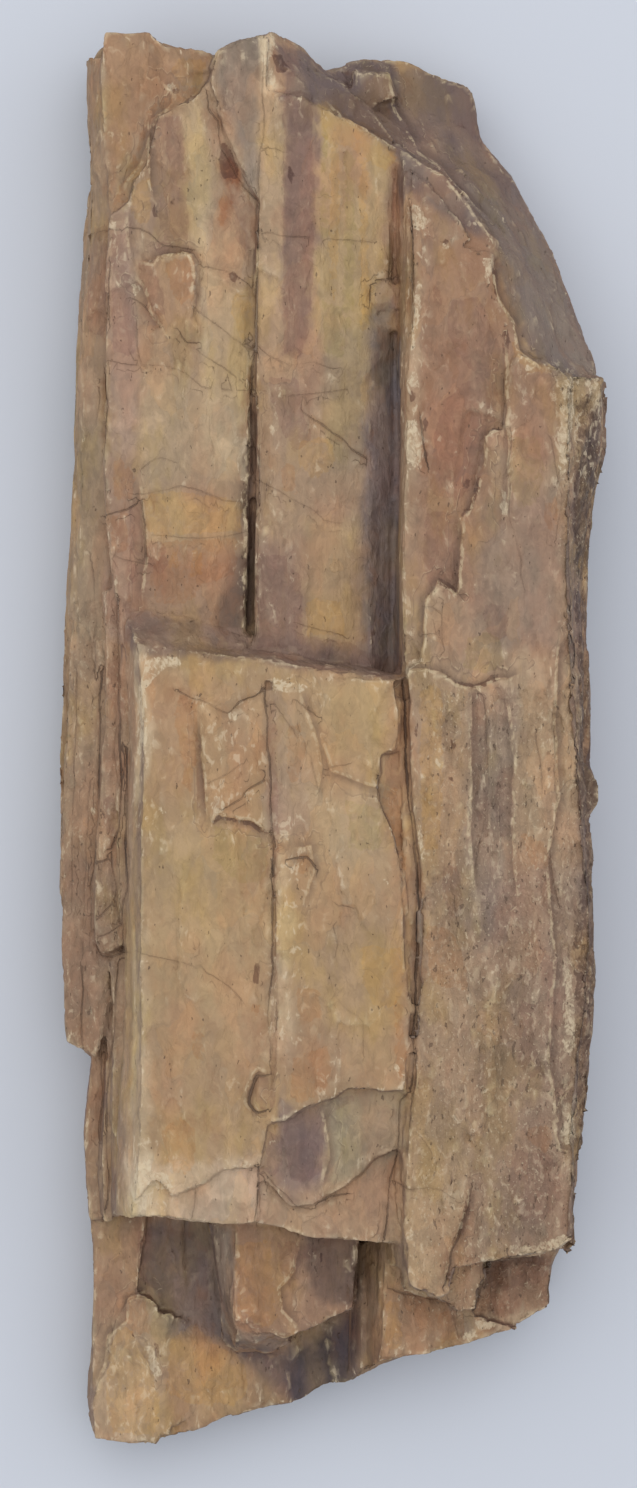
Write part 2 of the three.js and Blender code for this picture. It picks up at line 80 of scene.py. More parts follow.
def buildCamera():
    data = bpy.data.cameras.new("camera")
    camera = bpy.data.objects.new("camera", data)
    bpy.context.scene.collection.objects.link(camera)
    camera.location = (
        view["acrossOffset"],
        view["alongOffset"],
        view["focusHeight"] + view["distance"],
    )
    data.sensor_fit = "AUTO"
    data.sensor_width = view["sensorWidth"]
    frameHeight = view["imageHeight"] * view["metresPerPixel"]
    data.lens = data.sensor_width * view["distance"] / frameHeight
    data.clip_start = view["nearClip"]
    bpy.context.scene.camera = camera


def buildFloor():
    bm = bmesh.new()
    bmesh.ops.create_grid(bm, x_segments=1, y_segments=1, size=studio["floorSize"] / 2)
    mesh = bpy.data.meshes.new("floor")
    bm.to_mesh(mesh)
    bm.free()
    floor = bpy.data.objects.new("floor", mesh)
    bpy.context.scene.collection.objects.link(floor)
    material = bpy.data.materials.new("floorPaper")
    material.use_nodes = True
    shader = material.node_tree.nodes["Principled BSDF"]
    shader.inputs["Base Color"].default_value = linear(studio["floorColour"])
    shader.inputs["Roughness"].default_value = studio["floorRoughness"]
    shader.inputs["Specular IOR Level"].default_value = studio["floorGloss"]
    mesh.materials.append(material)


def addAreaLight(name, place, size, power, colour):
    data = bpy.data.lights.new(name, "AREA")
    data.size = size
    data.energy = power
    data.color = linear(colour)[:3]
    lamp = bpy.data.objects.new(name, data)
    lamp.location = place
    lamp.rotation_euler = (-Vector(place)).to_track_quat("-Z", "Y").to_euler()
    bpy.context.scene.collection.objects.link(lamp)


def buildStudio():
    buildFloor()
    for name in ("key", "fill"):
        place, size, power, colour = (studio[name + part] for part in ("Place", "Size", "Power", "Colour"))
        addAreaLight(name + "Light", place, size, power, colour)
    world = bpy.data.worlds.new("sky")
    world.use_nodes = True
    background = world.node_tree.nodes["Background"]
    background.inputs["Color"].default_value = linear(studio["skyColour"])
    background.inputs["Strength"].default_value = studio["skyStrength"]
    scene = bpy.context.scene
    scene.world = world
    scene.view_settings.view_transform = "Standard"


buildCamera()
buildStudio()
print("stage: camera and studio")


# small tools for working on many points at once, in millimetres

def cellNumber(cells, seed):
    # a steady number from -1 to 1 for each cell of a lattice
    mixed = cells[:, 0] * 374761393 + cells[:, 1] * 668265263 + cells[:, 2] * 914744521
    mixed = (mixed + seed * 1274126177) & 0x7FFFFFFF
    mixed = ((mixed ^ (mixed >> 13)) * 1274126177) & 0x7FFFFFFF
    return ((mixed ^ (mixed >> 16)) & 0xFFFF) / 32767.5 - 1


def smoothNoise(points, seed):
    # value noise from -1 to 1
    base = np.floor(points).astype(np.int64)
    part = points - base
    part = part * part * (3 - 2 * part)
    total = np.zeros(len(points))
    for corner in range(8):
        offset = np.array([(corner >> axis) & 1 for axis in range(3)])
        weight = np.prod(np.where(offset, part, 1 - part), axis=1)
        total += weight * cellNumber(base + offset, seed)
    return total


def flakedField(points, seed):
    # flat tilted scars side by side, as left by flakes, about -1 to 1
    bent = points + 0.30 * np.stack([smoothNoise(points * 1.7, seed + axis) for axis in (1, 2, 3)], axis=1)
    base = np.floor(bent).astype(np.int64)
    nearest = np.full(len(points), 9.0)
    height = np.zeros(len(points))
    for corner in range(27):
        cell = base + np.array([corner % 3 - 1, corner // 3 % 3 - 1, corner // 9 - 1])
        lean = np.stack([cellNumber(cell, seed + axis) for axis in (4, 5, 6)], axis=1)
        gap = bent - cell - 0.5 - 0.45 * lean
        distance = np.sum(gap * gap, axis=1)
        scar = cellNumber(cell, seed + 7) * 0.6 + np.sum(gap * lean, axis=1)
        closer = distance < nearest
        nearest = np.where(closer, distance, nearest)
        height = np.where(closer, scar, height)
    return height


def layeredNoise(points, seed, layers=3):
    total = np.zeros(len(points))
    for layer in range(layers):
        total += smoothNoise(points * 2 ** layer, seed + layer * 17) * 0.5 ** layer
    return total


def smoothStep(value, low, high):
    t = np.clip((value - low) / (high - low), 0, 1)
    return t * t * (3 - 2 * t)


def routeDistance(flat, route):
    # distance to a route of points, with its sign from the side that the point is on
    nearest = np.full(len(flat), 1e9)
    side = np.ones(len(flat))
    for start, end in zip(route[:-1], route[1:]):
        a = np.array(start)
        run = np.array(end) - a
        rel = flat - a
        t = np.clip(rel @ run / (run @ run), 0, 1)
        gap = rel - t[:, None] * run
        distance = np.hypot(gap[:, 0], gap[:, 1])
        closer = distance < nearest
        nearest = np.where(closer, distance, nearest)
        cross = run[0] * rel[:, 1] - run[1] * rel[:, 0]
        side = np.where(closer, np.where(cross >= 0, 1.0, -1.0), side)
    return nearest, side


def nearCorners(flat, line, reach):
    # the points within reach of the box round a line or outline
    corners = np.array(line)
    return np.all((flat > corners.min(0) - reach) & (flat < corners.max(0) + reach), axis=1)


def fadeAtEnds(flat, line, start, full):
    # 0 at the ends of a line, rising to 1 further along it
    ends = np.minimum(np.hypot(*(flat - line[0]).T), np.hypot(*(flat - line[-1]).T))
    return smoothStep(ends, start, full)


def box(left, top, right, bottom):
    # an upright rectangle as an outline
    return (left, top), (right, top), (right, bottom), (left, bottom)


def outlineDepth(flat, outline):
    # how far inside a closed outline each point lies, negative outside
    closed = list(outline) + [outline[0]]
    distance = routeDistance(flat, closed)[0]
    inside = np.zeros(len(flat), bool)
    for (ax, ay), (bx, by) in zip(closed[:-1], closed[1:]):
        if ay == by:
            continue
        crosses = (ay > flat[:, 1]) != (by > flat[:, 1])
        at = ax + (flat[:, 1] - ay) * (bx - ax) / (by - ay)
        inside ^= crosses & (flat[:, 0] < at)
    return np.where(inside, distance, -distance)


stoneShape = {
    "voxel": 0.5,            # spacing of the fine surface, mm
    "flatHeight": 0.25,      # points below this are laid flat on the floor, mm
    "restingHeight": 0.3,    # up to here the surface belongs to the resting face, mm
    "creaseLimit": 0.22,     # bends gentler than this are smoothed away, mm
    "softRounds": 4,         # how many times the bends are smoothed
    "softReach": 9,          # how many points each smoothing reaches across
    "grainHeight": 0.13,     # long ridges along the grain, mm
    "threadHeight": 0.05,    # fine threads along the grain, mm
    "sliverHeight": 0.75,    # thin slivers split off along the grain, mm
    "scarHeight": 0.40,      # broad flake scars, mm
    "flakeHeight": 0.13,     # small flake scars, mm
    "coarseHeight": 0.42,    # pits of the weathered areas, mm
    "endHeight": 0.34,       # roughness of faces broken across the grain, mm
    "chipHeight": 0.95,      # most that an edge has lost in chips, mm
    "chipReach": 6,          # how many points across an edge the chips are looked for
    "deepestChip": 1.4,      # against how far the edge stands proud
    "breakHeight": 0.08,     # a little unevenness everywhere, mm
    "sliverLevels": 3.2,     # how many steps the slivers rise in
    "coarseHeights": (14, 20),   # weathering sets in between these heights, mm
    "grooveReach": 2.5,      # points this near to a line can belong to its groove, mm
    "grooveEdge": 0.45,      # how far a groove slopes beyond its half width, mm
    "ledgeEnds": (0.3, 4.0),     # a low step grows from its ends over this stretch, mm
    "faceBudget": 190000,
}

# uneven patterns: cell size across, along and up in mm, seed, and layers of ever finer noise
patterns = {
    "grain": ((3, 55, 3), 11, 2),
    "threads": ((1.5, 26, 1.5), 12, 2),
    "slivers": ((7, 46, 7), 13, 3),
    "breaks": ((3.2, 3.2, 3.2), 14, 3),
    "pits": ((1.8, 3.6, 1.8), 15, 2),
    "chips": ((4, 4, 4), 16, 3),
    "rubbedEdges": ((2.6, 2.6, 2.6), 33, 3),
    "lineDarkness": ((7, 7, 7), 61, 2),
    "flankLean": ((16, 16, 16), 71, 3),
}

# flat scars side by side: cell size and seed
scarPatterns = {
    "scars": ((9, 24, 9), 21),
    "flakes": ((2.8, 6.5, 2.8), 31),
    "facets": ((4.5, 4.5, 4.5), 51),
}

# how unevenly borders and drawn lines run, mm
wandering = {
    "areaBorder": 1.2,
    "patchBorder": 1.4,
    "borderCell": 3.5,
    "line": 0.35,
    "lineCell": 4.2,
}

# places where the surface is weathered and pitted: name, strength, soft edge and outline
coarseAreas = [
    ("slabWeathered", 1.0, 8, ((18, 12), (60, 12), (58, -118), (14, -118), (18, -30))),
    ("slabRightEdge", 1.0, 3, ((44, 75), (60, 75), (60, 10), (47, 10))),
    ("headFracture", 0.2, 3, ((-10, 142), (32, 138), (58, 75), (44, 74), (32, 82), (12, 118), (-8, 132))),
    ("leftSplinters", 0.6, 2, box(-56, 28, -42, -66)),
]

blockTops = ((-42, 22), (16, 16), (15, -72), (-12, -80), (-42, -98))

# places with little grain, places of even colour, rusty places and rubbed pale places, written the
# same way
smoothAreas = [
    ("blockTops", 0.75, 3, blockTops),
]
calmAreas = [
    ("headFace", 0.8, 3, ((-11, 142), (30, 138), (58, 75), (45, 73), (33, 83), (14, 113), (-9, 131))),
    ("blockTops", 0.25, 3, blockTops),
    ("panels", 0.15, 3, box(-46, 130, 13, 18)),
]
stainedAreas = [
    ("slabHead", 0.6, 8, ((15, 106), (36, 98), (36, 40), (15, 40))),
    ("blockFoot", 0.6, 6, box(-36, -66, -20, -90)),
    ("blockHead", 0.35, 6, ((-36, 14), (-14, 12), (-14, -16), (-36, -16))),
    ("blockMiddle", 0.3, 10, box(-38, -24, -14, -60)),
    ("panelFoot", 0.4, 6, box(-44, 50, -18, 18)),
]
rubbedAreas = [
    ("blockSeamSide", 0.7, 3, ((-13, -14), (-5, -14), (-6, -60), (-13, -60))),
    ("blockLeftRim", 0.6, 3, ((-41, 18), (-35, 18), (-35.5, -20), (-41, -20))),
    ("blockCorner", 0.9, 4, ((-41, -78), (-33, -80), (-33, -98), (-42, -98))),
    ("flakedTop", 0.6, 3, ((-27, 8), (-14, 10), (-13, -18), (-27, -16))),
    ("slabRim", 0.8, 2, ((14, 108), (19, 108), (18, 52), (14, 52))),
    ("slabOuter", 0.8, 4, ((44, 76), (56, 74), (55, 50), (44, 50))),
    ("slabLower", 0.35, 8, ((20, -20), (50, -20), (50, -100), (14, -100))),
    ("cornerFoot", 0.5, 4, box(-50, -122, -34, -145)),
]

# bars that fill slots and ease steps: from and to what height, how wide, and their route, mm
shallowSlots = {
    "blockSeam": (36, 40.8, 3.0, ((-13, 11.2), (-13, -18), (-12.5, -31.5), (-12, -51.5), (-12.5, -70))),
    "slabCrackHigh": (36, 40.9, 2.0, ((14.5, 8), (14.6, -2), (15, -10.6), (15.8, -17.8))),
    "slabCrackLow": (36, 41.3, 3.2, ((15.3, -15), (16, -23), (16.2, -41.5), (16, -50.3), (15.5, -59.5),
        (15.2, -70))),
    "creviceHead": (28, 32.6, 2.2, ((-16.4, 79), (-16.8, 60))),
    "creviceNext": (28, 31.6, 2.0, ((-16.8, 60), (-17, 50))),
    "creviceLow": (26, 30, 2.0, ((-17, 50), (-17.4, 40))),
    "flakeEnd": (28, 33.6, 4.5, ((-35, 81), (-28.5, 84))),
    "flakeFoot": (28, 33.3, 4.5, ((-35.5, 77.5), (-28, 80.5))),
    "cornerSlopeA": (12, 18.9, 4.0, ((-34.6, -118), (-33.6, -132), (-35, -141))),
    "cornerSlopeB": (12, 18.1, 2.8, ((-31.6, -119), (-31, -132), (-32.4, -139.5))),
    "cornerSlopeC": (12, 17.3, 2.8, ((-30, -120), (-29.4, -132), (-30.8, -138.5))),
    "cornerSlopeD": (12, 16.6, 2.8, ((-28.4, -121), (-27.8, -132), (-29.2, -137))),
}

# groove depth and half width in mm, and how dark the line is
lineKinds = {
    "vein": (0.03, 0.50, 0.42),
    "crack": (0.22, 0.45, 0.75),
    "split": (0.70, 0.60, 1.00),
}

# flanks that are as pale as the tops beside them
paleFlanks = [
    ("channelSide", 0.9, 1, box(11.5, 112, 18, 10)),
    ("blockLeft", 0.95, 1.5, box(-44, 18, -39, -98)),
    ("leftStrips", 0.95, 2, ((-58, 140), (-47, 140), (-43, 20), (-43, -64), (-58, -64))),
    ("lowerGap", 0.6, 2, box(4, -100, 14, -124)),
    ("blockFoot", 0.7, 2, box(-42, -84, 14, -101)),
]

# heights that a group of lines or patches belongs to, lowest and highest, mm
blockHeights = {
    "plate": (20, 36),
    "panel": (22, 37.6),
    "centre": (24, 37.6),
    "channel": (10, 39),
    "slab": (34, 48),
    "slabFlank": (12, 48),
    "head": (8, 43.6),
    "block": (37, 48),
    "blockLow": (29, 44),
    "lowerBlock": (17.5, 34),
    "lowerPlate": (-1, 22),
    "corner": (10, 24),
    "lowerCorner": (22, 34),
    "splinters": (16, 34),
}

# each block's cracks and veins: name, kind and route
surfaceLines = {}
surfaceLines["plate"] = [
    ("plateVein", "vein", ((-50, 103.5), (-46.5, 103.5), (-43, 103))),
]
surfaceLines["panel"] = [
    ("veinUpper", "vein", ((-45, 77), (-39.5, 76), (-33, 75.5), (-29.5, 74), (-26.5, 71.5), (-19.5, 71),
        (-14, 70.5))),
    ("veinSlant", "vein", ((-27.5, 87), (-24.5, 85), (-21.5, 83), (-17.5, 79.5), (-16, 76.5))),
    ("veinSlantHigh", "vein", ((-25.5, 96), (-22.5, 95), (-19.5, 94), (-16.5, 92))),
    ("veinSlantLow", "vein", ((-27.5, 79), (-21.5, 75), (-17.5, 72))),
    ("flakeHook", "crack", ((-30.5, 82), (-29.5, 80.5), (-27.5, 80.5))),
    ("veinMiddle", "vein", ((-39, 50), (-34, 50.5), (-31, 51.5), (-26.5, 50.5), (-21.5, 48.5),
        (-18.5, 48.5))),
    ("veinShort", "vein", ((-38, 55.5), (-36, 57), (-34, 57), (-32.5, 56.5))),
    ("veinLeft", "crack", ((-45.5, 46), (-43.5, 46.5), (-41.5, 47), (-39.5, 48))),
    ("veinLow", "vein", ((-45, 38), (-42, 36.5), (-37.5, 36))),
    ("honeyEdge", "vein", ((-37, 41.5), (-34, 41.5), (-26.5, 41), (-21, 41.5), (-17.5, 42.5))),
    ("veinAcross", "vein", ((-41, 103.5), (-39, 103.5), (-37, 102.5), (-34.5, 100.5), (-29, 99.5))),
    ("borderHigh", "crack", ((-45, 96.5), (-45, 92), (-45, 89), (-45, 84.5))),
    ("borderMiddle", "crack", ((-46, 74.5), (-45.5, 68), (-46, 60.5))),
    ("borderLow", "vein", ((-45, 40.5), (-45, 33.5), (-45.5, 26))),
    ("panelLine", "vein", ((-39.5, 84), (-39, 76.5))),
    ("flakeSlant", "vein", ((-40.5, 89.5), (-38.5, 88.5), (-37, 86.5), (-35.5, 84.5))),
    ("blockSide", "crack", ((-38.5, 48.5), (-38, 44.5), (-38, 39.5), (-38, 36))),
    ("ridgeSplit", "crack", ((-25.5, 131), (-25, 127.5), (-23, 125), (-22.5, 119.5), (-19.5, 114),
        (-17.5, 111.5), (-15, 109))),
    ("ridgeSplitLow", "crack", ((-15, 109), (-15, 105), (-15, 101))),
    ("ridgeVein", "vein", ((-15, 101), (-15.5, 89), (-15.5, 80))),
    ("seamTop", "vein", ((-14, 137), (-14, 125.5), (-15, 109))),
    ("seamLow", "crack", ((-16.5, 80.5), (-15.5, 78.5), (-16, 76), (-16.5, 72))),
    ("creviceHead", "split", ((-16, 75.5), (-16.5, 70.5), (-16.5, 65), (-16.5, 55))),
]
surfaceLines["centre"] = [
    ("crossTop", "vein", ((-14.5, 119), (-12, 119.5), (-10, 118.5))),
    ("crossHigh", "vein", ((-15, 101.5), (-13, 102.5), (-9.5, 101.5), (-4, 101.5))),
    ("crossFar", "vein", ((-2, 101), (2.5, 101), (8, 100.5))),
    ("crossMiddle", "vein", ((-8.5, 69.5), (-5.5, 70), (-2, 70.5), (2.5, 71))),
    ("slantTop", "vein", ((-15.5, 80), (-12, 77.5), (-8.5, 75.5), (-4, 76.5), (0.5, 75))),
    ("slantLong", "crack", ((-6, 66.5), (-4, 65), (-2, 64), (0, 62.5), (2.5, 61), (4, 59), (6.5, 57.5))),
    ("slantLow", "vein", ((-16, 53), (-13, 51.5), (-11, 50.5), (-8.5, 49), (-6, 47.5), (-3.5, 46),
        (-2, 44.5), (1.5, 44))),
    ("notchTop", "crack", ((12, 93.5), (9.5, 93))),
    ("notchSide", "crack", ((7.5, 91.5), (7.5, 89))),
    ("footSlant", "vein", ((-6.5, 23.5), (-2.5, 22.5), (2.5, 21.5))),
]
surfaceLines["slab"] = [
    ("slabCrack", "split", ((14, 11.5), (14.5, 5.5), (14.5, -2), (15, -10.5), (16, -18), (16.5, -22.5),
        (17, -29.5), (17, -41.5), (16.5, -50.5), (16, -59.5), (16, -62.5), (15.5, -69.5))),
    ("rimLine", "crack", ((15.5, 106.5), (16, 101), (16, 94), (16, 88), (16, 83))),
    ("rimLineLow", "crack", ((17.5, 64.5), (18, 60), (19, 55))),
    ("smallBlocksA", "vein", ((18.5, 27), (20, 27), (22, 26.5))),
    ("smallBlocksB", "vein", ((18, 21.5), (20, 21.5), (21.5, 21))),
    ("smallBlocksC", "vein", ((22, 29), (22, 23.5), (22, 18.5))),
    ("innerSplit", "crack", ((27.5, -89), (27, -92.5), (26, -96), (25, -99.5), (23.5, -102), (23.5, -104.5),
        (22.5, -108.5))),
    ("crossTail", "vein", ((13, -88.5), (15.5, -89.5), (19.5, -89), (22, -89.5), (24, -91))),
    ("tailHook", "vein", ((18, -79.5), (19.5, -81.5), (20.5, -84))),
    ("stepRight", "vein", ((35.5, 61.5), (35, 54), (35.5, 43.5), (37.5, 36.5), (38, 30.5))),
    ("bevelLine", "vein", ((43.5, 60), (44.5, 54), (45.5, 49), (44.5, 40.5))),
    ("slabGroove", "vein", ((30, 8.5), (31, 0.5), (31, -9.5), (29, -21.5), (28, -27.5))),
    ("slabThread", "vein", ((40.5, 1.5), (41.5, -6.5), (42, -11.5))),
    ("slabThreadLow", "crack", ((43.5, -23.5), (44, -28.5), (45, -32.5))),
    ("tailThread", "vein", ((24, -31.5), (24.5, -34.5), (25, -36.5))),
]
surfaceLines["block"] = [
    ("blockCrack", "vein", ((-38.5, -42), (-35, -43), (-30.5, -44), (-27.5, -45), (-24, -46.5), (-21, -48.5),
        (-18.5, -51.5))),
    ("blockBranch", "vein", ((-26.5, -40.5), (-26.5, -45))),
    ("seamHigh", "crack", ((-13.5, 10.5), (-13, 0.5), (-12.5, -11.5), (-12, -19))),
    ("seamShade", "split", ((-12.5, -18), (-12, -22), (-12, -26.5))),
    ("seamMiddle", "crack", ((-12.5, -26.5), (-12, -32.5), (-12, -41.5), (-12.5, -48.5), (-13, -55.5),
        (-12.5, -63.5))),
    ("flakeTopLine", "crack", ((-30.5, 10), (-28, 8.5), (-25, 7.5), (-21, 5.5), (-18.5, 8), (-15.5, 9),
        (-13.5, 10.5))),
    ("flakeCrease", "vein", ((-24.5, -8), (-21, -6.5), (-18.5, -4.5))),
    ("flakeCreaseLow", "crack", ((-21.5, -13), (-18.5, -11.5), (-17.5, -9.5), (-14, -7.5))),
    ("rightTopCrack", "crack", ((-6.5, 7.5), (-4.5, 6), (-3, 5))),
    ("rightSlant", "vein", ((-12, 8.5), (-9.5, 4), (-7, 0.5), (-4.5, -3), (-3, -9.5))),
    ("rightArc", "crack", ((-1, -5.5), (0, -5), (3, -4.5))),
    ("rightHook", "crack", ((-8, -23.5), (-6.5, -23), (-5, -23), (-3.5, -25))),
    ("rightShort", "vein", ((-6.5, -0.5), (-6, 0.5), (-7, 2.5))),
    ("rightCrack", "vein", ((0, -37), (0.5, -39), (1.5, -41.5))),
    ("rightCrackLow", "vein", ((-0.5, -48), (0, -51), (2.5, -53), (4, -54), (5.5, -54.5), (6, -56.5),
        (6, -62.5))),
    ("rightDash", "vein", ((1.5, -32.5), (3.5, -33))),
    ("recessLine", "crack", ((-13, -66.5), (-15.5, -66.5), (-16, -68.5), (-16.5, -72), (-15, -74),
        (-13.5, -73.5))),
]
surfaceLines["blockLow"] = [
    ("stepCrack", "crack", ((-15, -85.5), (-15, -90.5), (-15.5, -96.5))),
    ("stepSlant", "vein", ((-14, -86), (-12, -88.5), (-9.5, -90.5), (-7.5, -93), (-4.5, -93.5))),
    ("stepFoot", "crack", ((-3, -92.5), (-0.5, -91), (2.5, -90.5))),
    ("sideSeam", "crack", ((15, -70.5), (13.5, -72), (13, -81), (11.5, -89.5), (10.5, -99.5))),
    ("stepVein", "vein", ((-27.5, -89.5), (-28, -94.5))),
]
surfaceLines["lowerCorner"] = [
    ("footLine", "crack", ((12, -111), (14.5, -112), (18.5, -113), (22, -113), (24.5, -115), (28, -115.5),
        (29.5, -114))),
    ("chunkSide", "crack", ((29.5, -114), (30, -111.5), (31, -108.5), (31, -106.5))),
    ("chunkDrop", "vein", ((23, -114), (24.5, -117), (25.5, -120.5))),
]
surfaceLines["splinters"] = [
    ("splinterA", "crack", ((-47, 14), (-47.5, 0.5), (-47.5, -12), (-48, -22), (-49, -30), (-49, -39))),
    ("splinterB", "crack", ((-43.5, 14), (-43, 1.5), (-42.5, -8), (-43, -17), (-44.5, -22), (-44.5, -25),
        (-44, -29), (-44, -32))),
    ("splinterC", "crack", ((-41.5, -1.5), (-41.5, -12), (-41.5, -20), (-41.5, -28), (-42.5, -35),
        (-42.5, -42))),
    ("splinterAcross", "crack", ((-48, -24.5), (-46.5, -24.5), (-44.5, -23.5))),
    ("splinterChip", "crack", ((-44, -31.5), (-45.5, -33.5), (-47.5, -35.5))),
    ("splinterChipSide", "crack", ((-44, -32), (-43.5, -35), (-43, -37))),
    ("splinterFoot", "crack", ((-48, -39.5), (-45.5, -38.5), (-43, -37))),
    ("splinterEnd", "crack", ((-48.5, -38), (-48, -41.5), (-47, -43.5), (-44.5, -43.5), (-42.5, -42.5))),
    ("splinterLow", "crack", ((-43.5, -44.5), (-44, -52.5), (-44.5, -59.5), (-45.5, -64.5))),
    ("splinterLowLine", "crack", ((-45.5, -64.5), (-46, -72.5), (-46, -81), (-45.5, -89), (-46, -95))),
    ("splinterLowEdge", "crack", ((-47, -64.5), (-47, -72.5), (-47.5, -81))),
    ("stripGroove", "vein", ((-52, 14), (-52.5, -3.5), (-53, -20), (-53, -34))),
    ("stripGrooveLow", "crack", ((-51, -45.5), (-51, -52.5), (-51, -62.5))),
    ("stripThread", "vein", ((-49.5, -8), (-50, -24), (-51, -44.5))),
    ("stripHigh", "vein", ((-49, 37), (-48, 24.5), (-48.5, 14))),
    ("stripHighRight", "crack", ((-43.5, 29), (-43.5, 20.5), (-43.5, 14))),
]


# low steps where a layer has come away: block, drop, reach on the low side, mm, and the line.
# The low side is to the left, going along the line.
surfaceLedges = {
    "slabHead": ("slab", 0.9, 4, ((32, 98), (33, 90), (36.5, 84), (37.5, 78), (42.5, 74))),
    "slabTab": ("slab", 0.5, 3, ((29, 54), (30, 56), (30, 61), (31.5, 62), (34, 62.5))),
    "slabStrip": ("slab", 0.5, 3, ((34.5, 44.5), (35, 54), (34.5, 64), (34.5, 79))),
    "slabShelf": ("slab", 0.7, 5, ((14, 12.5), (15.5, 14.5), (18.5, 14.5), (21, 14), (23, 13), (24.5, 12),
        (28, 11), (30, 11.5), (32, 13), (35, 13), (38, 14))),
    "slabCurl": ("slab", 0.9, 2.5, ((25.5, 44.5), (27.5, 46.5), (28, 49), (29, 51), (29, 54))),
    "slabNotch": ("slab", 0.8, 3, ((18, 16.5), (18, 23), (18.5, 28.5), (20, 30.5), (21, 32.5), (21.5, 32),
        (24, 30.5), (25, 29.5), (25.5, 36.5), (25.5, 44.5))),
    "slabLong": ("slab", 0.5, 5, ((27.5, 10.5), (28, -3.5), (27.5, -17.5), (28.5, -31.5))),
    "slabLongRight": ("slab", 0.5, 5, ((36.5, -31.5), (35.5, -17.5), (36, -3.5), (34.5, 10.5))),
    "slabOuter": ("slab", 0.6, 5, ((45.5, 20.5), (44.5, 4.5), (45.5, -11.5), (43, -23.5), (44.5, -43.5),
        (43.5, -63.5), (45.5, -77.5))),
    "slabEdgeStep": ("slab", 0.5, 3, ((48.5, -67.5), (44.5, -75.5), (45.5, -81.5), (49.5, -82))),
    "slabTailStep": ("slab", 0.8, 4, ((27.5, -88.5), (27, -92.5), (26, -97), (23.5, -102), (23, -109.5))),
    "blockFlakeSide": ("block", 0.5, 4, ((-25, -16), (-25.5, -9.5), (-26, -1.5), (-26.5, 4.5))),
    "blockFlakeFoot": ("block", 0.7, 4, ((-12.5, -18.5), (-16, -16), (-19, -15.5), (-23, -14.5),
        (-24.5, -16.5))),
    "rightStepA": ("block", 0.35, 4, ((-6.5, 10.5), (-3.5, 2.5), (-2, -5.5), (-3, -11.5))),
    "rightStepB": ("block", 0.35, 5, ((10.5, -9.5), (5.5, -8.5), (-0.5, -6), (-2.5, 0.5))),
    "rightPlateau": ("block", 0.4, 4, ((-8.5, -21.5), (-4, -20.5), (-3.5, -25.5), (-5.5, -31.5))),
    "chipRecess": ("block", 0.7, 2.5, ((-12.5, -66.5), (-15, -65.5), (-16.5, -67.5), (-17, -71.5),
        (-15.5, -73.5))),
    "creviceSlope": ("panel", 2.6, 5, ((-16.5, 69), (-17, 55), (-17.5, 36.5), (-17.5, 22))),
    "panelStepA": ("panel", 0.6, 3, ((-37, 126.5), (-37, 117.5), (-36, 109))),
    "panelStepB": ("panel", 0.4, 3, ((-41, 108), (-41, 101), (-40.5, 97.5))),
    "panelStepC": ("panel", 0.4, 4, ((-38.5, 28.5), (-38, 40.5), (-39, 53))),
    "flakeTop": ("panel", 0.5, 3, ((-39.5, 97), (-36, 96.5), (-35.5, 98), (-30.5, 99), (-28.5, 98.5),
        (-27.5, 96.5), (-27.5, 93.5), (-28, 92), (-28, 89))),
    "flakeLeft": ("panel", 0.5, 3, ((-34.5, 82.5), (-36, 85), (-37.5, 87), (-37.5, 89.5), (-38.5, 91.5),
        (-40, 93.5))),
    "plateChip": ("plate", 0.4, 3, ((-35, 134), (-32.5, 131.5), (-31, 132.5))),
    "plateNearScarp": ("plate", 0.5, 3, ((-43, 111.5), (-39, 117.5), (-36.5, 126), (-31, 130.5))),
    "headRidge": ("head", 1.0, 5, ((13, 120), (18.5, 116), (22.5, 114), (27, 108), (29.5, 105), (33, 100))),
    "headRidgeB": ("head", 0.7, 4, ((15.5, 121), (21.5, 117.5), (26, 111), (31, 106))),
    "headFold": ("head", 0.8, 5, ((12, 135), (13, 129), (15.5, 125), (17.5, 120))),
    "headBench": ("head", 0.8, 4, ((5, 135), (7.5, 136), (12, 135.5))),
    "centreRim": ("centre", 0.5, 3, ((-0.5, 129.5), (2.5, 125.5), (8, 123), (13, 119.5))),
    "cornerFlakeEdge": ("corner", 0.5, 3, ((-49, -132.5), (-47, -128), (-46, -121.5), (-42.5, -118.5),
        (-42, -114), (-37.5, -112.5))),
    "flakeInside": ("corner", 0.5, 3, ((-40, -123.5), (-37.5, -127.5), (-37, -130.5))),
    "lowerStep": ("lowerBlock", 0.5, 4, ((-6.5, -100), (-7.5, -107), (-10.5, -111), (-10, -115),
        (-6.5, -119))),
    "stepMauveEdge": ("blockLow", 0.5, 4, ((-2, -73), (-0.5, -81.5), (-2, -89.5))),
    "sideShelf": ("lowerCorner", 0.8, 3, ((44, -104.5), (31.5, -105.5), (31, -109.5), (29.5, -111.5))),
}


def patternAt(places, name):
    size, seed, layers = patterns[name]
    return layeredNoise(places / np.array(size), seed, layers)


def scarsAt(places, name):
    size, seed = scarPatterns[name]
    return flakedField(places / np.array(size), seed)


def copyNode(name):
    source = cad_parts[name]
    mesh = source.data.copy()
    bm = bmesh.new()
    bm.from_mesh(mesh)
    bmesh.ops.remove_doubles(bm, verts=bm.verts, dist=1e-6)
    bm.to_mesh(mesh)
    bm.free()
    piece = bpy.data.objects.new(name + "Stone", mesh)
    bpy.context.scene.collection.objects.link(piece)
    return piece


def applyModifier(piece, kind, **settings):
    modifier = piece.modifiers.new(kind.lower(), kind)
    for key, value in settings.items():
        setattr(modifier, key, value)
    graph = bpy.context.evaluated_depsgraph_get()
    mesh = bpy.data.meshes.new_from_object(piece.evaluated_get(graph))
    old = piece.data
    piece.modifiers.clear()
    piece.data = mesh
    bpy.data.meshes.remove(old)


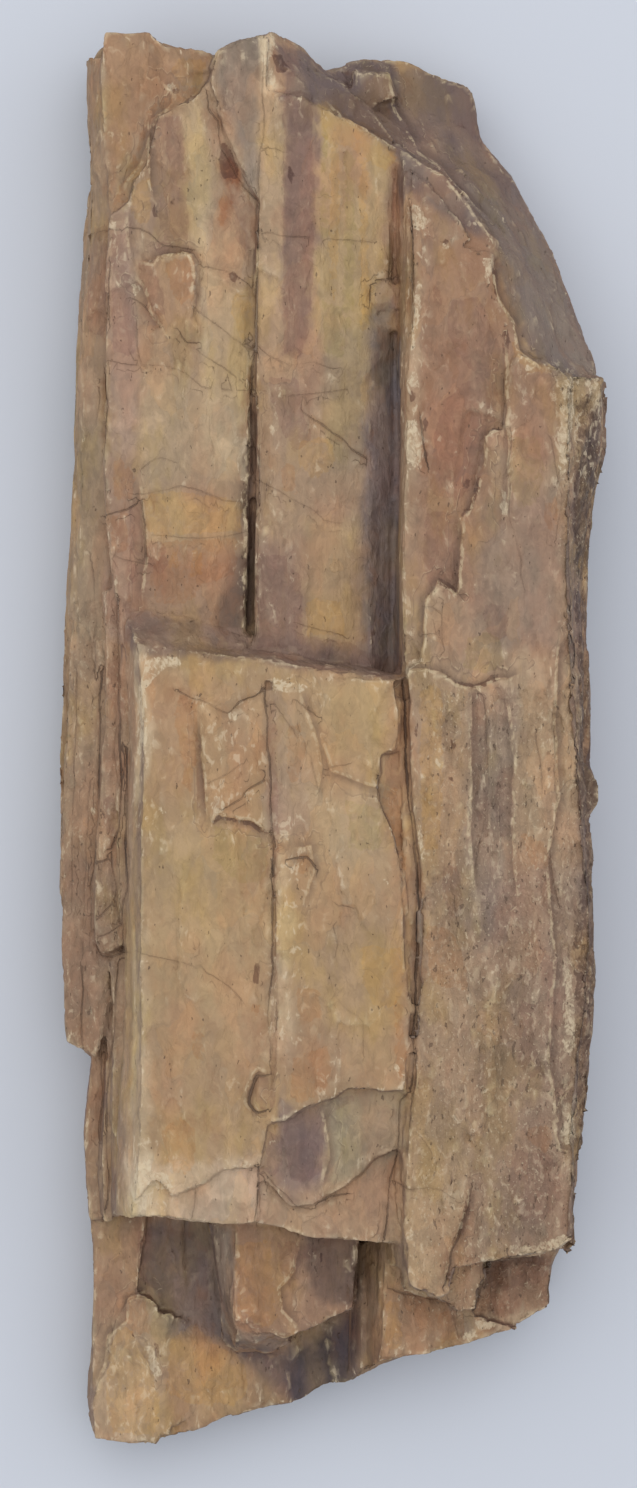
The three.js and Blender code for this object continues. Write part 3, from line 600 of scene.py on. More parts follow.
def readMesh(mesh):
    # places in millimetres, normals and the pairs of points that an edge joins
    count = len(mesh.vertices)
    places = np.zeros(count * 3)
    normals = np.zeros(count * 3)
    links = np.zeros(len(mesh.edges) * 2, np.int32)
    mesh.vertices.foreach_get("co", places)
    mesh.vertices.foreach_get("normal", normals)
    mesh.edges.foreach_get("vertices", links)
    return places.reshape(-1, 3) * 1000, normals.reshape(-1, 3), links.reshape(-1, 2)


def writeMesh(mesh, places):
    mesh.vertices.foreach_set("co", (places / 1000).ravel())
    mesh.update()


def neighbourMean(values, links, rounds=1):
    counts = np.bincount(links.ravel(), minlength=len(values))[:, None]
    for step in range(rounds):
        total = np.zeros_like(values)
        for axis in range(values.shape[1]):
            column = values[:, axis]
            total[:, axis] = np.bincount(links[:, 0], column[links[:, 1]], len(values))
            total[:, axis] += np.bincount(links[:, 1], column[links[:, 0]], len(values))
        values = total / np.maximum(counts, 1)
    return values


def bulgeOf(places, normals, links, rounds):
    # how far each point stands proud of its smoothed surroundings, mm
    smooth = neighbourMean(places, links, rounds)
    return np.sum((places - smooth) * normals, axis=1), smooth


def areaStrength(places, outline, feather, wobble=wandering["areaBorder"], seed=5):
    # 1 inside an outline, 0 outside, with an uneven soft edge
    flat = places[:, :2]
    strength = np.zeros(len(places))
    index = np.nonzero(nearCorners(flat, outline, feather + wobble))[0]
    depth = outlineDepth(flat[index], outline)
    depth += wobble * layeredNoise(places[index] / wandering["borderCell"], seed, 2)
    strength[index] = smoothStep(depth, -feather / 2, feather / 2)
    return strength


def heightStrength(heights, block):
    low, high = blockHeights[block]
    return smoothStep(heights, low - 0.8, low + 0.4) * (1 - smoothStep(heights, high - 0.4, high + 0.8))


def nearLine(places, normals, block, line, reach):
    # points of a block's upward faces close to a line: their places in the list, distance and side
    flat = places[:, :2]
    low, high = blockHeights[block]
    near = nearCorners(flat, line, reach)
    near &= (places[:, 2] > low - 1) & (places[:, 2] < high + 1) & (normals[:, 2] > -0.3)
    index = np.nonzero(near)[0]
    cells = places[index] / wandering["lineCell"]
    wobble = wandering["line"] * np.stack([smoothNoise(cells, seed) for seed in (91, 92)], axis=1)
    distance, side = routeDistance(flat[index] + wobble, line)
    close = distance < reach
    return index[close], distance[close], side[close]


def areasStrength(places, areas):
    strength = np.zeros(len(places))
    for name, amount, feather, outline in areas:
        strength = np.maximum(strength, amount * areaStrength(places, outline, feather))
    return strength


def coarseStrength(places):
    return areasStrength(places, coarseAreas) * smoothStep(places[:, 2], *stoneShape["coarseHeights"])


def softenFacets(places, mesh, links):
    limit = stoneShape["creaseLimit"]
    for step in range(stoneShape["softRounds"]):
        normals = readMesh(mesh)[1]
        bulge, smooth = bulgeOf(places, normals, links, stoneShape["softReach"])
        keep = smoothStep(np.abs(bulge), limit * 0.4, limit)
        resting = places[:, 2] < stoneShape["restingHeight"]
        keep = np.where(resting, 1.0, keep)[:, None]
        places = places * keep + smooth * (1 - keep)
        writeMesh(mesh, places)
    return places


def wearSurface(places, mesh, links):
    shape = stoneShape
    normals = readMesh(mesh)[1]
    endFace = smoothStep(np.abs(normals[:, 1]), 0.45, 0.8)
    coarse = coarseStrength(places)
    grain = patternAt(places, "grain")
    threads = patternAt(places, "threads")
    levels = patternAt(places, "slivers") * shape["sliverLevels"]
    part = levels - np.floor(levels)
    stairs = np.floor(levels) + smoothStep(part, 0.80, 1.0)
    broken = patternAt(places, "breaks")
    pitted = patternAt(places, "pits")
    scars = scarsAt(places, "scars")
    flakes = scarsAt(places, "flakes")
    facets = scarsAt(places, "facets")
    height = (1 - endFace) * (
        shape["grainHeight"] * (0.7 + 1.6 * coarse) * grain
        + shape["threadHeight"] * (0.8 + 1.2 * coarse) * threads
        + shape["sliverHeight"] * (0.35 + 0.9 * coarse) * (stairs / shape["sliverLevels"] - 0.4)
        - shape["coarseHeight"] * coarse * smoothStep(pitted, 0.15, 0.7)
    )
    height += endFace * shape["endHeight"] * (0.5 * broken + 0.9 * facets - 0.4)
    height += shape["scarHeight"] * (1 - endFace) * (1 - 0.4 * coarse) * scars
    height += shape["flakeHeight"] * (0.8 + 1.8 * coarse) * flakes
    height += shape["breakHeight"] * broken
    height *= smoothStep(places[:, 2], shape["restingHeight"], 2.5)
    places = places + normals * height[:, None]
    writeMesh(mesh, places)

    # edges that stand proud lose chips here and there
    normals = readMesh(mesh)[1]
    bulge, smooth = bulgeOf(places, normals, links, shape["chipReach"])
    patches = smoothStep(patternAt(places, "chips"), -0.25, 0.55)
    chip = shape["chipHeight"] * smoothStep(bulge, 0.12, 0.6) * (0.25 + 0.75 * patches)
    chip *= smoothStep(places[:, 2], shape["restingHeight"], 1.5)
    inward = smooth - places
    length = np.maximum(np.linalg.norm(inward, axis=1), 1e-6)
    places = places + inward * np.minimum(chip / length, shape["deepestChip"])[:, None]
    writeMesh(mesh, places)
    return places


def everyLine():
    for block, rows in surfaceLines.items():
        for name, kind, line in rows:
            yield block, kind, line


def cutLines(places, mesh):
    normals = readMesh(mesh)[1]
    depth = np.zeros(len(places))
    for block, kind, line in everyLine():
        groove, halfWidth = lineKinds[kind][:2]
        index, distance = nearLine(places, normals, block, line, stoneShape["grooveReach"])[:2]
        cut = groove * (1 - smoothStep(distance, 0.1, halfWidth + stoneShape["grooveEdge"]))
        depth[index] = np.maximum(depth[index], cut)
    places = places - normals * depth[:, None]
    places[:, 2] = np.maximum(places[:, 2], 0)
    writeMesh(mesh, places)


def cutLedges(places, mesh):
    normals = readMesh(mesh)[1]
    depth = np.zeros(len(places))
    for block, drop, reach, line in surfaceLedges.values():
        index, distance, side = nearLine(places, normals, block, line, reach)
        cut = drop * (1 - smoothStep(distance, 0, reach))
        cut *= fadeAtEnds(places[index, :2], line, *stoneShape["ledgeEnds"])
        depth[index] += np.where(side > 0, cut, 0)
    places = places - np.array([0, 0, 1]) * depth[:, None]
    writeMesh(mesh, places)
    return places


def fillSlots(piece):
    # bars in the narrow slots leave only shallow grooves for the drawn lines
    bm = bmesh.new()
    bm.from_mesh(piece.data)
    for low, high, width, route in shallowSlots.values():
        for (ax, ay), (bx, by) in zip(route[:-1], route[1:]):
            length = math.hypot(bx - ax, by - ay) + width / 2
            turn = Matrix.Rotation(math.atan2(by - ay, bx - ax), 4, "Z")
            size = Matrix.Diagonal((length / 1000, width / 1000, (high - low) / 1000, 1))
            middle = Vector(((ax + bx) / 2000, (ay + by) / 2000, (low + high) / 2000))
            bmesh.ops.create_cube(bm, size=1, matrix=Matrix.Translation(middle) @ turn @ size)
    bm.to_mesh(piece.data)
    bm.free()


def shapeStone():
    stone = copyNode("petrified_wood")
    fillSlots(stone)
    voxel = stoneShape["voxel"] / 1000
    applyModifier(stone, "REMESH", mode="VOXEL", voxel_size=voxel, adaptivity=0, use_smooth_shade=True)
    mesh = stone.data
    places, normals, links = readMesh(mesh)
    places[places[:, 2] < stoneShape["flatHeight"], 2] = 0
    writeMesh(mesh, places)
    print("stage: fine surface of", len(mesh.polygons), "faces")
    places = softenFacets(places, mesh, links)
    places = cutLedges(places, mesh)
    places = wearSurface(places, mesh, links)
    cutLines(places, mesh)
    faces = sum(len(polygon.vertices) - 2 for polygon in mesh.polygons)
    ratio = stoneShape["faceBudget"] / faces
    applyModifier(stone, "DECIMATE", decimate_type="COLLAPSE", ratio=ratio, use_collapse_triangulate=True)
    stone.data.polygons.foreach_set("use_smooth", [True] * len(stone.data.polygons))
    print("stage: worn surface of", len(stone.data.polygons), "faces")
    return stone


palette = {
    "tan": "a2866a",
    "ochre": "a88a67",
    "honey": "ad926b",
    "gold": "b49663",
    "apricot": "ad8562",
    "butter": "b09a7a",
    "cream": "cdb998",
    "saddle": "9c7859",
    "clay": "937159",
    "rust": "85563a",
    "rose": "8a7060",
    "blush": "a18774",
    "olive": "92836a",
    "slate": "86786a",
    "mauve": "7c6860",
    "dusk": "6c5b56",
    "bark": "7c6659",
    "umber": "6a5447",
    "shadow": "6c5e58",
    # a grey of painted shade, down the channel beside the slab
    "shadeGrey": "6f6464",
    "night": "4b3f41",
    "sand": "c2ab90",
    # a brown of painted shade, down the crevice between the panels
    "shadeBrown": "54473f",
}

# each block's patches: name, colour, strength, soft edge in mm, outline
colourPatches = {}
colourPatches["plate"] = [
    ("plateTop", "saddle", 0.9, 2, ((-46.5, 144.5), (-31, 144.5), (-22.5, 139.5), (-26, 132), (-35, 128),
        (-39, 111.5), (-45.5, 97), (-50.5, 97), (-50.5, 138))),
    ("plateEdge", "tan", 0.95, 1.5, ((-51, 138), (-45.5, 138), (-45.5, 20.5), (-55, 20.5))),
    ("plateScarp", "rust", 0.45, 2, ((-26, 140), (-23, 138), (-24.5, 131.5), (-34, 127.5), (-38, 114),
        (-44.5, 107), (-40.5, 115.5), (-37, 126), (-29, 131.5))),
    ("plateFoot", "olive", 0.4, 2, ((-51.5, 65), (-45.5, 65), (-46.5, 20.5), (-53.5, 20.5))),
]
colourPatches["panel"] = [
    ("panelTop", "tan", 1, 1, ((-23.5, 143.5), (-14, 143.5), (-14, 20.5), (-45.5, 20.5), (-45.5, 109),
        (-37, 128.5), (-25.5, 137.5))),
    ("leftBlush", "blush", 0.7, 2, ((-45.5, 107), (-41, 108), (-39, 89), (-40.5, 20.5), (-45.5, 20.5))),
    ("greyStripe", "rose", 0.6, 2, ((-36.5, 125.5), (-30, 125.5), (-29.5, 99), (-37, 96.5), (-37, 111))),
    ("butterStripe", "butter", 0.8, 2, ((-30, 129.5), (-25.5, 130), (-24, 113), (-24.5, 96.5), (-16.5, 89),
        (-16.5, 53), (-25, 55), (-26.5, 89), (-29.5, 109))),
    ("ridge", "slate", 0.9, 2, ((-23.5, 142), (-14, 143.5), (-14.5, 108), (-17, 109), (-19.5, 123.5),
        (-22.5, 129.5))),
    ("redHollow", "rust", 0.9, 1.2, ((-23, 121.5), (-21, 121.5), (-18.5, 115), (-18.5, 112),
        (-21.5, 113.5))),
    ("rustOval", "rust", 0.7, 1.2, ((-23, 109.5), (-20.5, 110.5), (-20.5, 105), (-22.5, 103.5))),
    ("flake", "apricot", 0.5, 2, ((-39.5, 96.5), (-28.5, 98.5), (-27, 83), (-37, 83))),
    ("paleMiddle", "butter", 0.5, 4, ((-39, 75), (-17, 71), (-17.5, 53), (-39, 50.5))),
    ("honeyLow", "honey", 0.85, 3, ((-38.5, 50.5), (-18.5, 48.5), (-18.5, 39), (-37.5, 39.5))),
    ("brownLow", "clay", 0.65, 4, ((-41, 36.5), (-17.5, 36.5), (-18, 20.5), (-41, 20.5))),
    ("pinkLeft", "clay", 0.45, 3, ((-45.5, 57), (-39, 59), (-37.5, 28.5), (-45.5, 24.5))),
    # painted shade down the crevice between the panels
    ("creviceShade", "shadeBrown", 0.8, 3.5, ((-19, 50), (-15.5, 74), (-14.5, 18.5), (-24.5, 18.5), (-21, 34))),
]
colourPatches["centre"] = [
    ("centreTop", "tan", 1, 1, ((-15, 143.5), (13.5, 119.5), (13.5, 10.5), (-16.5, 10.5))),
    ("centreButter", "butter", 0.3, 1.0, ((-15, 131), (-10, 131.5), (-10, 89), (-15, 85))),
    ("centreYellow", "honey", 1, 1.2, ((-3.5, 129.5), (13, 117.5), (8, 89), (8, 73), (-3, 79))),
    ("centreStreak", "apricot", 0.5, 2, ((0.5, 125.5), (8, 121.5), (6.5, 111), (1.5, 114))),
    ("centreStripe", "rose", 1, 0.9, ((-9, 131), (-2.5, 130), (-4, 93), (-5, 76.5), (-10, 78.5), (-10, 93))),
    ("centreBlush", "rose", 0.45, 4, ((-12, 75), (-3, 74.5), (-4, 61), (-11.5, 61))),
    ("centreGreen", "olive", 0.5, 4, ((-1.5, 85), (6.5, 83), (6.5, 55), (-0.5, 55))),
    ("centreLowYellow", "honey", 0.8, 3, ((-6, 44.5), (6, 44.5), (3.5, 20.5), (-5, 20.5))),
    ("centreGold", "gold", 0.5, 3, ((-5, 30), (2.5, 30), (2, 21.5), (-4, 21.5))),
    ("centreLowShade", "clay", 0.4, 6, box(-16, 40, 11, 12)),
    ("centrePink", "rose", 0.75, 3, ((-16.5, 41.5), (-7, 39.5), (-6, 16.5), (-16.5, 17.5))),
    ("centreFoot", "umber", 0.75, 3, ((-16, 18.5), (11, 17), (11, 10.5), (-16, 10.5))),
    ("centreWhite", "cream", 0.9, 1, ((-15, 142.5), (-11.5, 142.5), (-13, 136), (-9.5, 131.5), (-14, 131))),
    ("centreRed", "rust", 0.6, 1.5, ((-12, 139), (-8, 138), (-8.5, 134), (-11.5, 135))),
    # painted shade in the channel beside the slab's wall
    ("channelShade", "shadeGrey", 0.85, 4.0, ((7.5, 86), (16, 92), (16, 8.5), (6, 8.5), (6, 50))),
]
colourPatches["channel"] = [
    ("channelWall", "saddle", 1, 1, box(12.2, 120, 17, 8.5)),
    # painted shade on the channel's floor
    ("channelFloorShade", "shadeGrey", 0.95, 4, ((9, 80), (16, 84), (16, 8.5), (8.5, 8.5))),
]
colourPatches["slab"] = [
    ("slabTop", "tan", 1, 1, ((13, 112), (57.5, 80), (57.5, -105.5), (9.5, -115.5))),
    ("slabUpper", "clay", 0.8, 3, ((16, 102), (33.5, 100), (37.5, 82), (33.5, 60), (29.5, 28.5),
        (15, 28.5))),
    ("slabGrey", "clay", 0.6, 4, ((20, 74), (28, 76), (27.5, 32.5), (19.5, 32.5))),
    ("slabOrange", "clay", 0.9, 3, ((33.5, 76), (45.5, 74), (45.5, 56), (36, 56))),
    ("slabMiddleBrown", "clay", 0.6, 5, box(28, 46, 46, 18)),
    ("slabMiddle", "slate", 0.5, 5, ((29.5, 48), (45.5, 52), (45.5, 18.5), (27.5, 18.5))),
    ("slabStripe", "slate", 0.6, 3, ((27, 10.5), (37.5, 10.5), (33.5, -37.5), (26, -37.5))),
    ("slabRight", "butter", 0.35, 5, ((37.5, 16.5), (51.5, 18.5), (51.5, -31.5), (37.5, -31.5))),
    ("slabMauve", "mauve", 0.45, 8, ((27.5, -27.5), (50.5, -23.5), (49.5, -53.5), (29.5, -57.5))),
    ("slabBrown", "bark", 0.5, 8, ((27.5, -55.5), (49.5, -53.5), (48.5, -101.5), (29.5, -101.5))),
    ("slabTail", "honey", 0.35, 4, ((11.5, -75.5), (26.5, -75.5), (25.5, -111.5), (10.5, -111.5))),
    ("slabLeftRim", "cream", 0.2, 1.2, ((14, 110), (19, 109), (18, 100), (17, 54), (14, 54))),
    ("slabRightRim", "cream", 0.12, 1.5, ((44.5, 74.5), (54, 72), (54.5, 60), (51.5, 54), (47.5, 60),
        (46.5, 52), (44.5, 52))),
    ("slabSide", "dusk", 0.8, 2, ((47.5, 54), (54.5, 72), (54.5, 20.5), (48.5, 20.5))),
    ("slabOuter", "dusk", 0.55, 1.5, ((49, 30), (58, 30), (58, -105), (51, -105), (50, -40))),
]
colourPatches["head"] = [
    ("headFace", "dusk", 1, 1.2, ((-11.5, 141.5), (29.5, 136.5), (57.5, 72.5), (43, 74), (37, 84),
        (33.5, 90), (32.5, 98.5), (23, 104.5), (14.5, 110.5), (13, 119), (-0.5, 128), (-9.5, 130))),
    ("headLow", "slate", 0.75, 6, ((27, 113), (36, 113), (58, 84), (58, 72), (44, 74), (36, 90))),
    ("headOrange", "clay", 0.4, 1.5, ((5, 135), (12, 135.5), (12, 128), (6.5, 128))),
    ("headDark", "umber", 0.95, 3, ((-2.5, 130.5), (7.5, 132.5), (13.5, 128.5), (15.5, 122.5), (12.5, 120.5),
        (1.5, 127))),
    ("headPink", "blush", 0.3, 1.5, ((16.5, 119.5), (22.5, 118.5), (23.5, 112), (17.5, 113))),
    ("headOlive", "slate", 0.45, 2, ((13, 118.5), (20, 117), (19.5, 110.5), (14, 112))),
    ("headRed", "clay", 0.6, 2, ((15.5, 109.5), (33.5, 100.5), (33.5, 97.5), (16, 101.5))),
]
colourPatches["block"] = [
    ("blockTop", "ochre", 1, 1, ((-41, 20.5), (15, 15.5), (15.5, -73.5), (-10.5, -77.5), (-36.5, -97.5),
        (-41, -97.5))),
    ("blockRose", "apricot", 0.4, 6, ((-36.5, 12.5), (-26.5, 12.5), (-25.5, -11.5), (-35, -11.5))),
    ("blockHoney", "honey", 0.7, 8, ((-36.5, -17.5), (-14.5, -17.5), (-15, -53.5), (-36.5, -53.5))),
    ("blockOrange", "gold", 0.45, 4, ((-34.5, -73.5), (-25, -73.5), (-25.5, -89.5), (-33.5, -89.5))),
    ("blockRim", "cream", 0.5, 1.6, ((-40.5, 18.5), (-37, 18.5), (-36.5, -5.5), (-39, -11.5),
        (-40.5, -7.5))),
    ("blockRimLow", "cream", 0.4, 2, ((-40.5, -37.5), (-37, -37.5), (-36.5, -97.5), (-41, -97.5))),
    ("blockCorner", "cream", 0.8, 2, ((-41, -83.5), (-35, -81.5), (-35.5, -98), (-41.5, -98))),
    ("rightBlush", "blush", 0.6, 4, ((-13, 10.5), (-4, 10.5), (-4.5, -17.5), (-13, -17.5))),
    ("rightPale", "butter", 0.6, 5, ((-4, -9.5), (10, -11.5), (9.5, -25.5), (-3.5, -25.5))),
    ("rightCream", "cream", 0.45, 2, box(-13, -21.5, -8.5, -63.5)),
    ("rightBrown", "clay", 0.35, 4, ((-10.5, -57.5), (2.5, -57.5), (1.5, -68.5), (-9.5, -70.5))),
    ("rightHead", "honey", 0.45, 4, ((-9, 13), (14, 12), (13.5, -4), (-9, -4))),
    ("rightGold", "gold", 0.35, 4, ((-0.5, 10.5), (10, 12.5), (9.5, 0.5), (0.5, -1.5))),
    ("rightEdge", "apricot", 0.5, 2, ((10.5, 14.5), (15.5, 14.5), (15.5, -71.5), (12, -71.5))),
]
colourPatches["blockLow"] = [
    ("blockStep", "sand", 0.75, 2, box(-41.5, -83.5, -14, -99.5)),
    ("stepMauve", "mauve", 0.95, 2, ((-10, -71.5), (-2, -73), (-2, -91.5), (-6.5, -94), (-12, -87.5))),
    ("stepOlive", "olive", 0.9, 2, ((-2, -70.5), (14, -70), (14, -81.5), (-0.5, -91.5))),
    ("stepTan", "tan", 0.9, 2, ((-13.5, -89.5), (10.5, -87.5), (10.5, -101.5), (-13.5, -99))),
    ("blockHead", "bark", 0.9, 2, ((-41.5, 27), (14.5, 16.5), (14.5, 12.5), (-36.5, 17.5), (-41.5, 20.5))),
]
colourPatches["lowerBlock"] = [
    ("lowerTop", "clay", 0.8, 1, ((-21, -97), (5.5, -97), (5.5, -125.5), (-22.5, -125.5))),
    ("lowerYellow", "saddle", 0.6, 3, ((-20.5, -100), (-7, -100), (-8.5, -117), (-19.5, -119))),
    # partly brown stone, partly painted shadow below the foot of the block above
    ("lowerDarkShade", "umber", 0.9, 3, ((-5.5, -99.5), (5.5, -100), (5, -113), (-4.5, -115))),
    ("lowerBevel", "slate", 0.85, 2, ((-27, -98.5), (-20.5, -98.5), (-20.5, -119), (-8.5, -122.5),
        (-12.5, -125.5), (-24, -122.5))),
]
colourPatches["lowerPlate"] = [
    # painted shadow below the foot of the block above, over dark brown stone, and painted shade in the
    # hollow beside it
    ("baseShadow", "shadow", 0.95, 4, ((-40, -97), (-22.5, -97), (-21, -123), (-33.5, -122), (-40, -114.5))),
    ("baseShade", "night", 1, 5, ((-22, -122), (-6.5, -124), (6, -114.5), (6, -139.5), (-13, -139.5))),
    ("baseHoney", "saddle", 0.55, 4, ((-35.5, -123), (-23, -124), (-8.5, -135), (-8.5, -143.5),
        (-35.5, -145.5))),
    ("baseOrange", "gold", 0.3, 4, ((-33.5, -123), (-15, -129), (-6.5, -139.5), (-27, -139.5))),
    ("baseColumn", "clay", 0.4, 2, box(-50.5, -63.5, -44, -98)),
]
colourPatches["corner"] = [
    ("cornerFlake", "butter", 0.4, 2, ((-49, -118.5), (-39.5, -111), (-33.5, -114.5), (-33.5, -145),
        (-49.5, -145))),
    ("cornerUpper", "clay", 0.5, 2, ((-49.5, -98), (-37.5, -99), (-37.5, -114.5), (-46.5, -120.5),
        (-49, -130.5))),
]
colourPatches["lowerCorner"] = [
    ("sideTop", "saddle", 0.8, 1, ((10.5, -109), (32, -113), (32, -129), (4.5, -129))),
    ("sideRecess", "clay", 0.9, 1.5, ((31, -105.5), (45, -104), (45, -117.5), (31.5, -117.5))),
    ("sideLight", "cream", 0.45, 1, ((29.5, -116), (43.5, -116), (42, -119), (29.5, -120))),
    ("sideSlate", "slate", 0.6, 1.5, ((24, -114), (29.5, -114), (29, -121), (25, -121))),
]
colourPatches["splinters"] = [
    ("splinterTop", "tan", 0.8, 2, box(-55.5, 20.5, -41.5, -64.5)),
    ("splinterBrown", "bark", 0.35, 2, box(-55.5, -24, -44.5, -64.5)),
    ("splinterWarm", "clay", 0.5, 1.5, box(-46.5, 18.5, -42, -26)),
]

# markings with crisp, uneven borders: how each kind multiplies the colour below it, and how far its
# border wanders, mm; the pale ones have a colour of their own
markKinds = {
    "light": ((1.09, 1.08, 1.06), 1.3),
    "gold": ((1.06, 1.00, 0.84), 1.3),
    "olive": ((0.93, 0.95, 0.84), 1.3),
    "rust": ((0.98, 0.88, 0.79), 1.3),
    # dusk and deep marks are the stone's own darker colour in some places, and painted shade in nicks,
    # slots, recesses and under step edges in others
    "dusk": ((0.85, 0.80, 0.82), 1.0),
    "pale": (None, 1.1),
    "deep": ((0.50, 0.43, 0.43), 0.6),
    "crust": ((0.50, 0.45, 0.46), 1.6),
}

# each block's markings: name, kind and outline
markings = {}
markings["plate"] = [
    ("plateChip", "pale", ((-34, 134), (-32.5, 134.5), (-31.5, 133.5), (-31.5, 132), (-33.5, 132))),
    ("plateChipShade", "deep", ((-33, 131.5), (-31, 132.5), (-30.5, 131.5), (-32, 131))),
    ("plateScarpStain", "rust", ((-41.5, 109.5), (-42, 113.5), (-40, 115.5), (-39, 119.5), (-37, 125),
        (-35, 128), (-30.5, 130), (-26, 131.5), (-27.5, 133), (-34, 130.5), (-37.5, 127.5), (-40, 119.5),
        (-41.5, 115.5), (-44, 110.5), (-44.5, 108.5))),
    ("plateGlow", "gold", ((-31.5, 138.5), (-25.5, 138), (-26.5, 133), (-30.5, 132.5), (-33, 135.5))),
    ("plateLow", "dusk", ((-49.5, 104.5), (-45.5, 104.5), (-46, 81.5), (-50, 83.5))),
]
markings["panel"] = [
    ("stripeMauve", "dusk", ((-34, 125.5), (-32.5, 126.5), (-30, 126), (-30, 113.5), (-33, 113),
        (-33.5, 119.5))),
    ("stripeMauveLow", "dusk", ((-35, 111.5), (-32.5, 113), (-29.5, 111), (-29, 101), (-34, 101),
        (-35, 105))),
    ("stripePale", "light", ((-36, 125.5), (-35, 125.5), (-34.5, 119.5), (-35, 117.5), (-36, 119.5))),
    ("stripeYellow", "gold", ((-40, 113), (-37, 113.5), (-36.5, 109), (-37, 104), (-39.5, 104.5),
        (-41, 108))),
    ("stripeSlot", "deep", ((-36, 109.5), (-35.5, 108), (-35, 105), (-36, 105), (-36.5, 107))),
    ("flakeShade", "dusk", ((-37, 100), (-35, 101), (-31, 100), (-28, 99.5), (-28.5, 98.5), (-35, 98))),
    ("flakeAmber", "rust", ((-34, 96), (-28.5, 98), (-27.5, 94.5), (-28, 89), (-31, 88), (-33, 92.5))),
    ("flakeMauve", "dusk", ((-39, 96.5), (-36.5, 96.5), (-35, 93), (-33.5, 86), (-35.5, 85.5), (-37, 89),
        (-39, 92.5))),
    ("butterBand", "light", ((-29.5, 129.5), (-27.5, 130), (-26, 125.5), (-25.5, 117.5), (-26, 106),
        (-28, 108), (-29, 117.5))),
    ("redHollow", "deep", ((-22.5, 120.5), (-21.5, 121), (-20.5, 119.5), (-19, 116), (-19.5, 113.5),
        (-22.5, 113.5), (-23, 117.5))),
    ("redOval", "rust", ((-23, 110), (-21.5, 110.5), (-20.5, 109), (-21, 107), (-22, 104), (-23, 105))),
    ("ridgeGrey", "dusk", ((-21, 113), (-18.5, 111.5), (-15.5, 108), (-15, 101), (-17.5, 98.5), (-19.5, 102),
        (-20.5, 108))),
    ("ridgeGreyLow", "light", ((-22.5, 102.5), (-19.5, 101.5), (-17, 98.5), (-15.5, 96.5), (-18.5, 95.5),
        (-24, 97.5))),
    ("redSpot", "deep", ((-21, 94.5), (-20, 95), (-18.5, 93.5), (-19.5, 92.5), (-20.5, 93))),
    ("paleNick", "pale", ((-40.5, 92.5), (-39, 91.5), (-39.5, 90), (-40.5, 90.5))),
    ("yellowRight", "gold", ((-19.5, 90.5), (-15.5, 89), (-16, 82), (-18.5, 81), (-20.5, 87))),
    ("tanField", "light", ((-26.5, 91.5), (-20.5, 92.5), (-17.5, 91.5), (-20.5, 88), (-25.5, 87.5))),
    ("mauveLeft", "dusk", ((-44.5, 102.5), (-41.5, 102.5), (-41, 96.5), (-40.5, 89), (-39.5, 83), (-40, 78),
        (-44.5, 78.5), (-44.5, 89))),
    ("amberLeft", "rust", ((-44.5, 57), (-42, 56.5), (-40, 53), (-40.5, 49), (-44, 48.5))),
    ("amberBlock", "rust", ((-44.5, 45.5), (-41.5, 46.5), (-41, 39), (-44.5, 38))),
    ("shadeBlock", "dusk", ((-41, 48), (-39, 47), (-38, 40.5), (-38.5, 36.5), (-41, 37.5))),
    ("shadeBlockLow", "dusk", ((-41, 35.5), (-39, 35.5), (-38.5, 32.5), (-41, 31.5))),
    ("shadeChunk", "dusk", ((-37, 40.5), (-34, 40.5), (-33, 36), (-35, 34), (-37.5, 36))),
    ("honeyBlock", "gold", ((-38.5, 49.5), (-31, 50.5), (-18.5, 48.5), (-18.5, 42.5), (-35, 41.5),
        (-37.5, 42.5))),
    ("paleBand", "light", ((-32.5, 63), (-23.5, 62.5), (-18, 58), (-18.5, 52.5), (-25.5, 53.5),
        (-30.5, 55))),
    ("paleBandHigh", "light", ((-44.5, 72.5), (-39, 73.5), (-34, 72), (-31.5, 67), (-35, 61), (-40, 63),
        (-44, 62.5))),
    ("amberLow", "rust", ((-34.5, 40.5), (-19.5, 41), (-19.5, 34), (-25.5, 32), (-28.5, 28), (-35, 28),
        (-37, 32.5))),
    ("yellowBars", "gold", ((-28.5, 39.5), (-26.5, 39.5), (-26, 34), (-28.5, 33.5))),
    ("yellowBarsLeft", "gold", ((-33, 38.5), (-31.5, 38.5), (-31, 35), (-33, 35))),
]
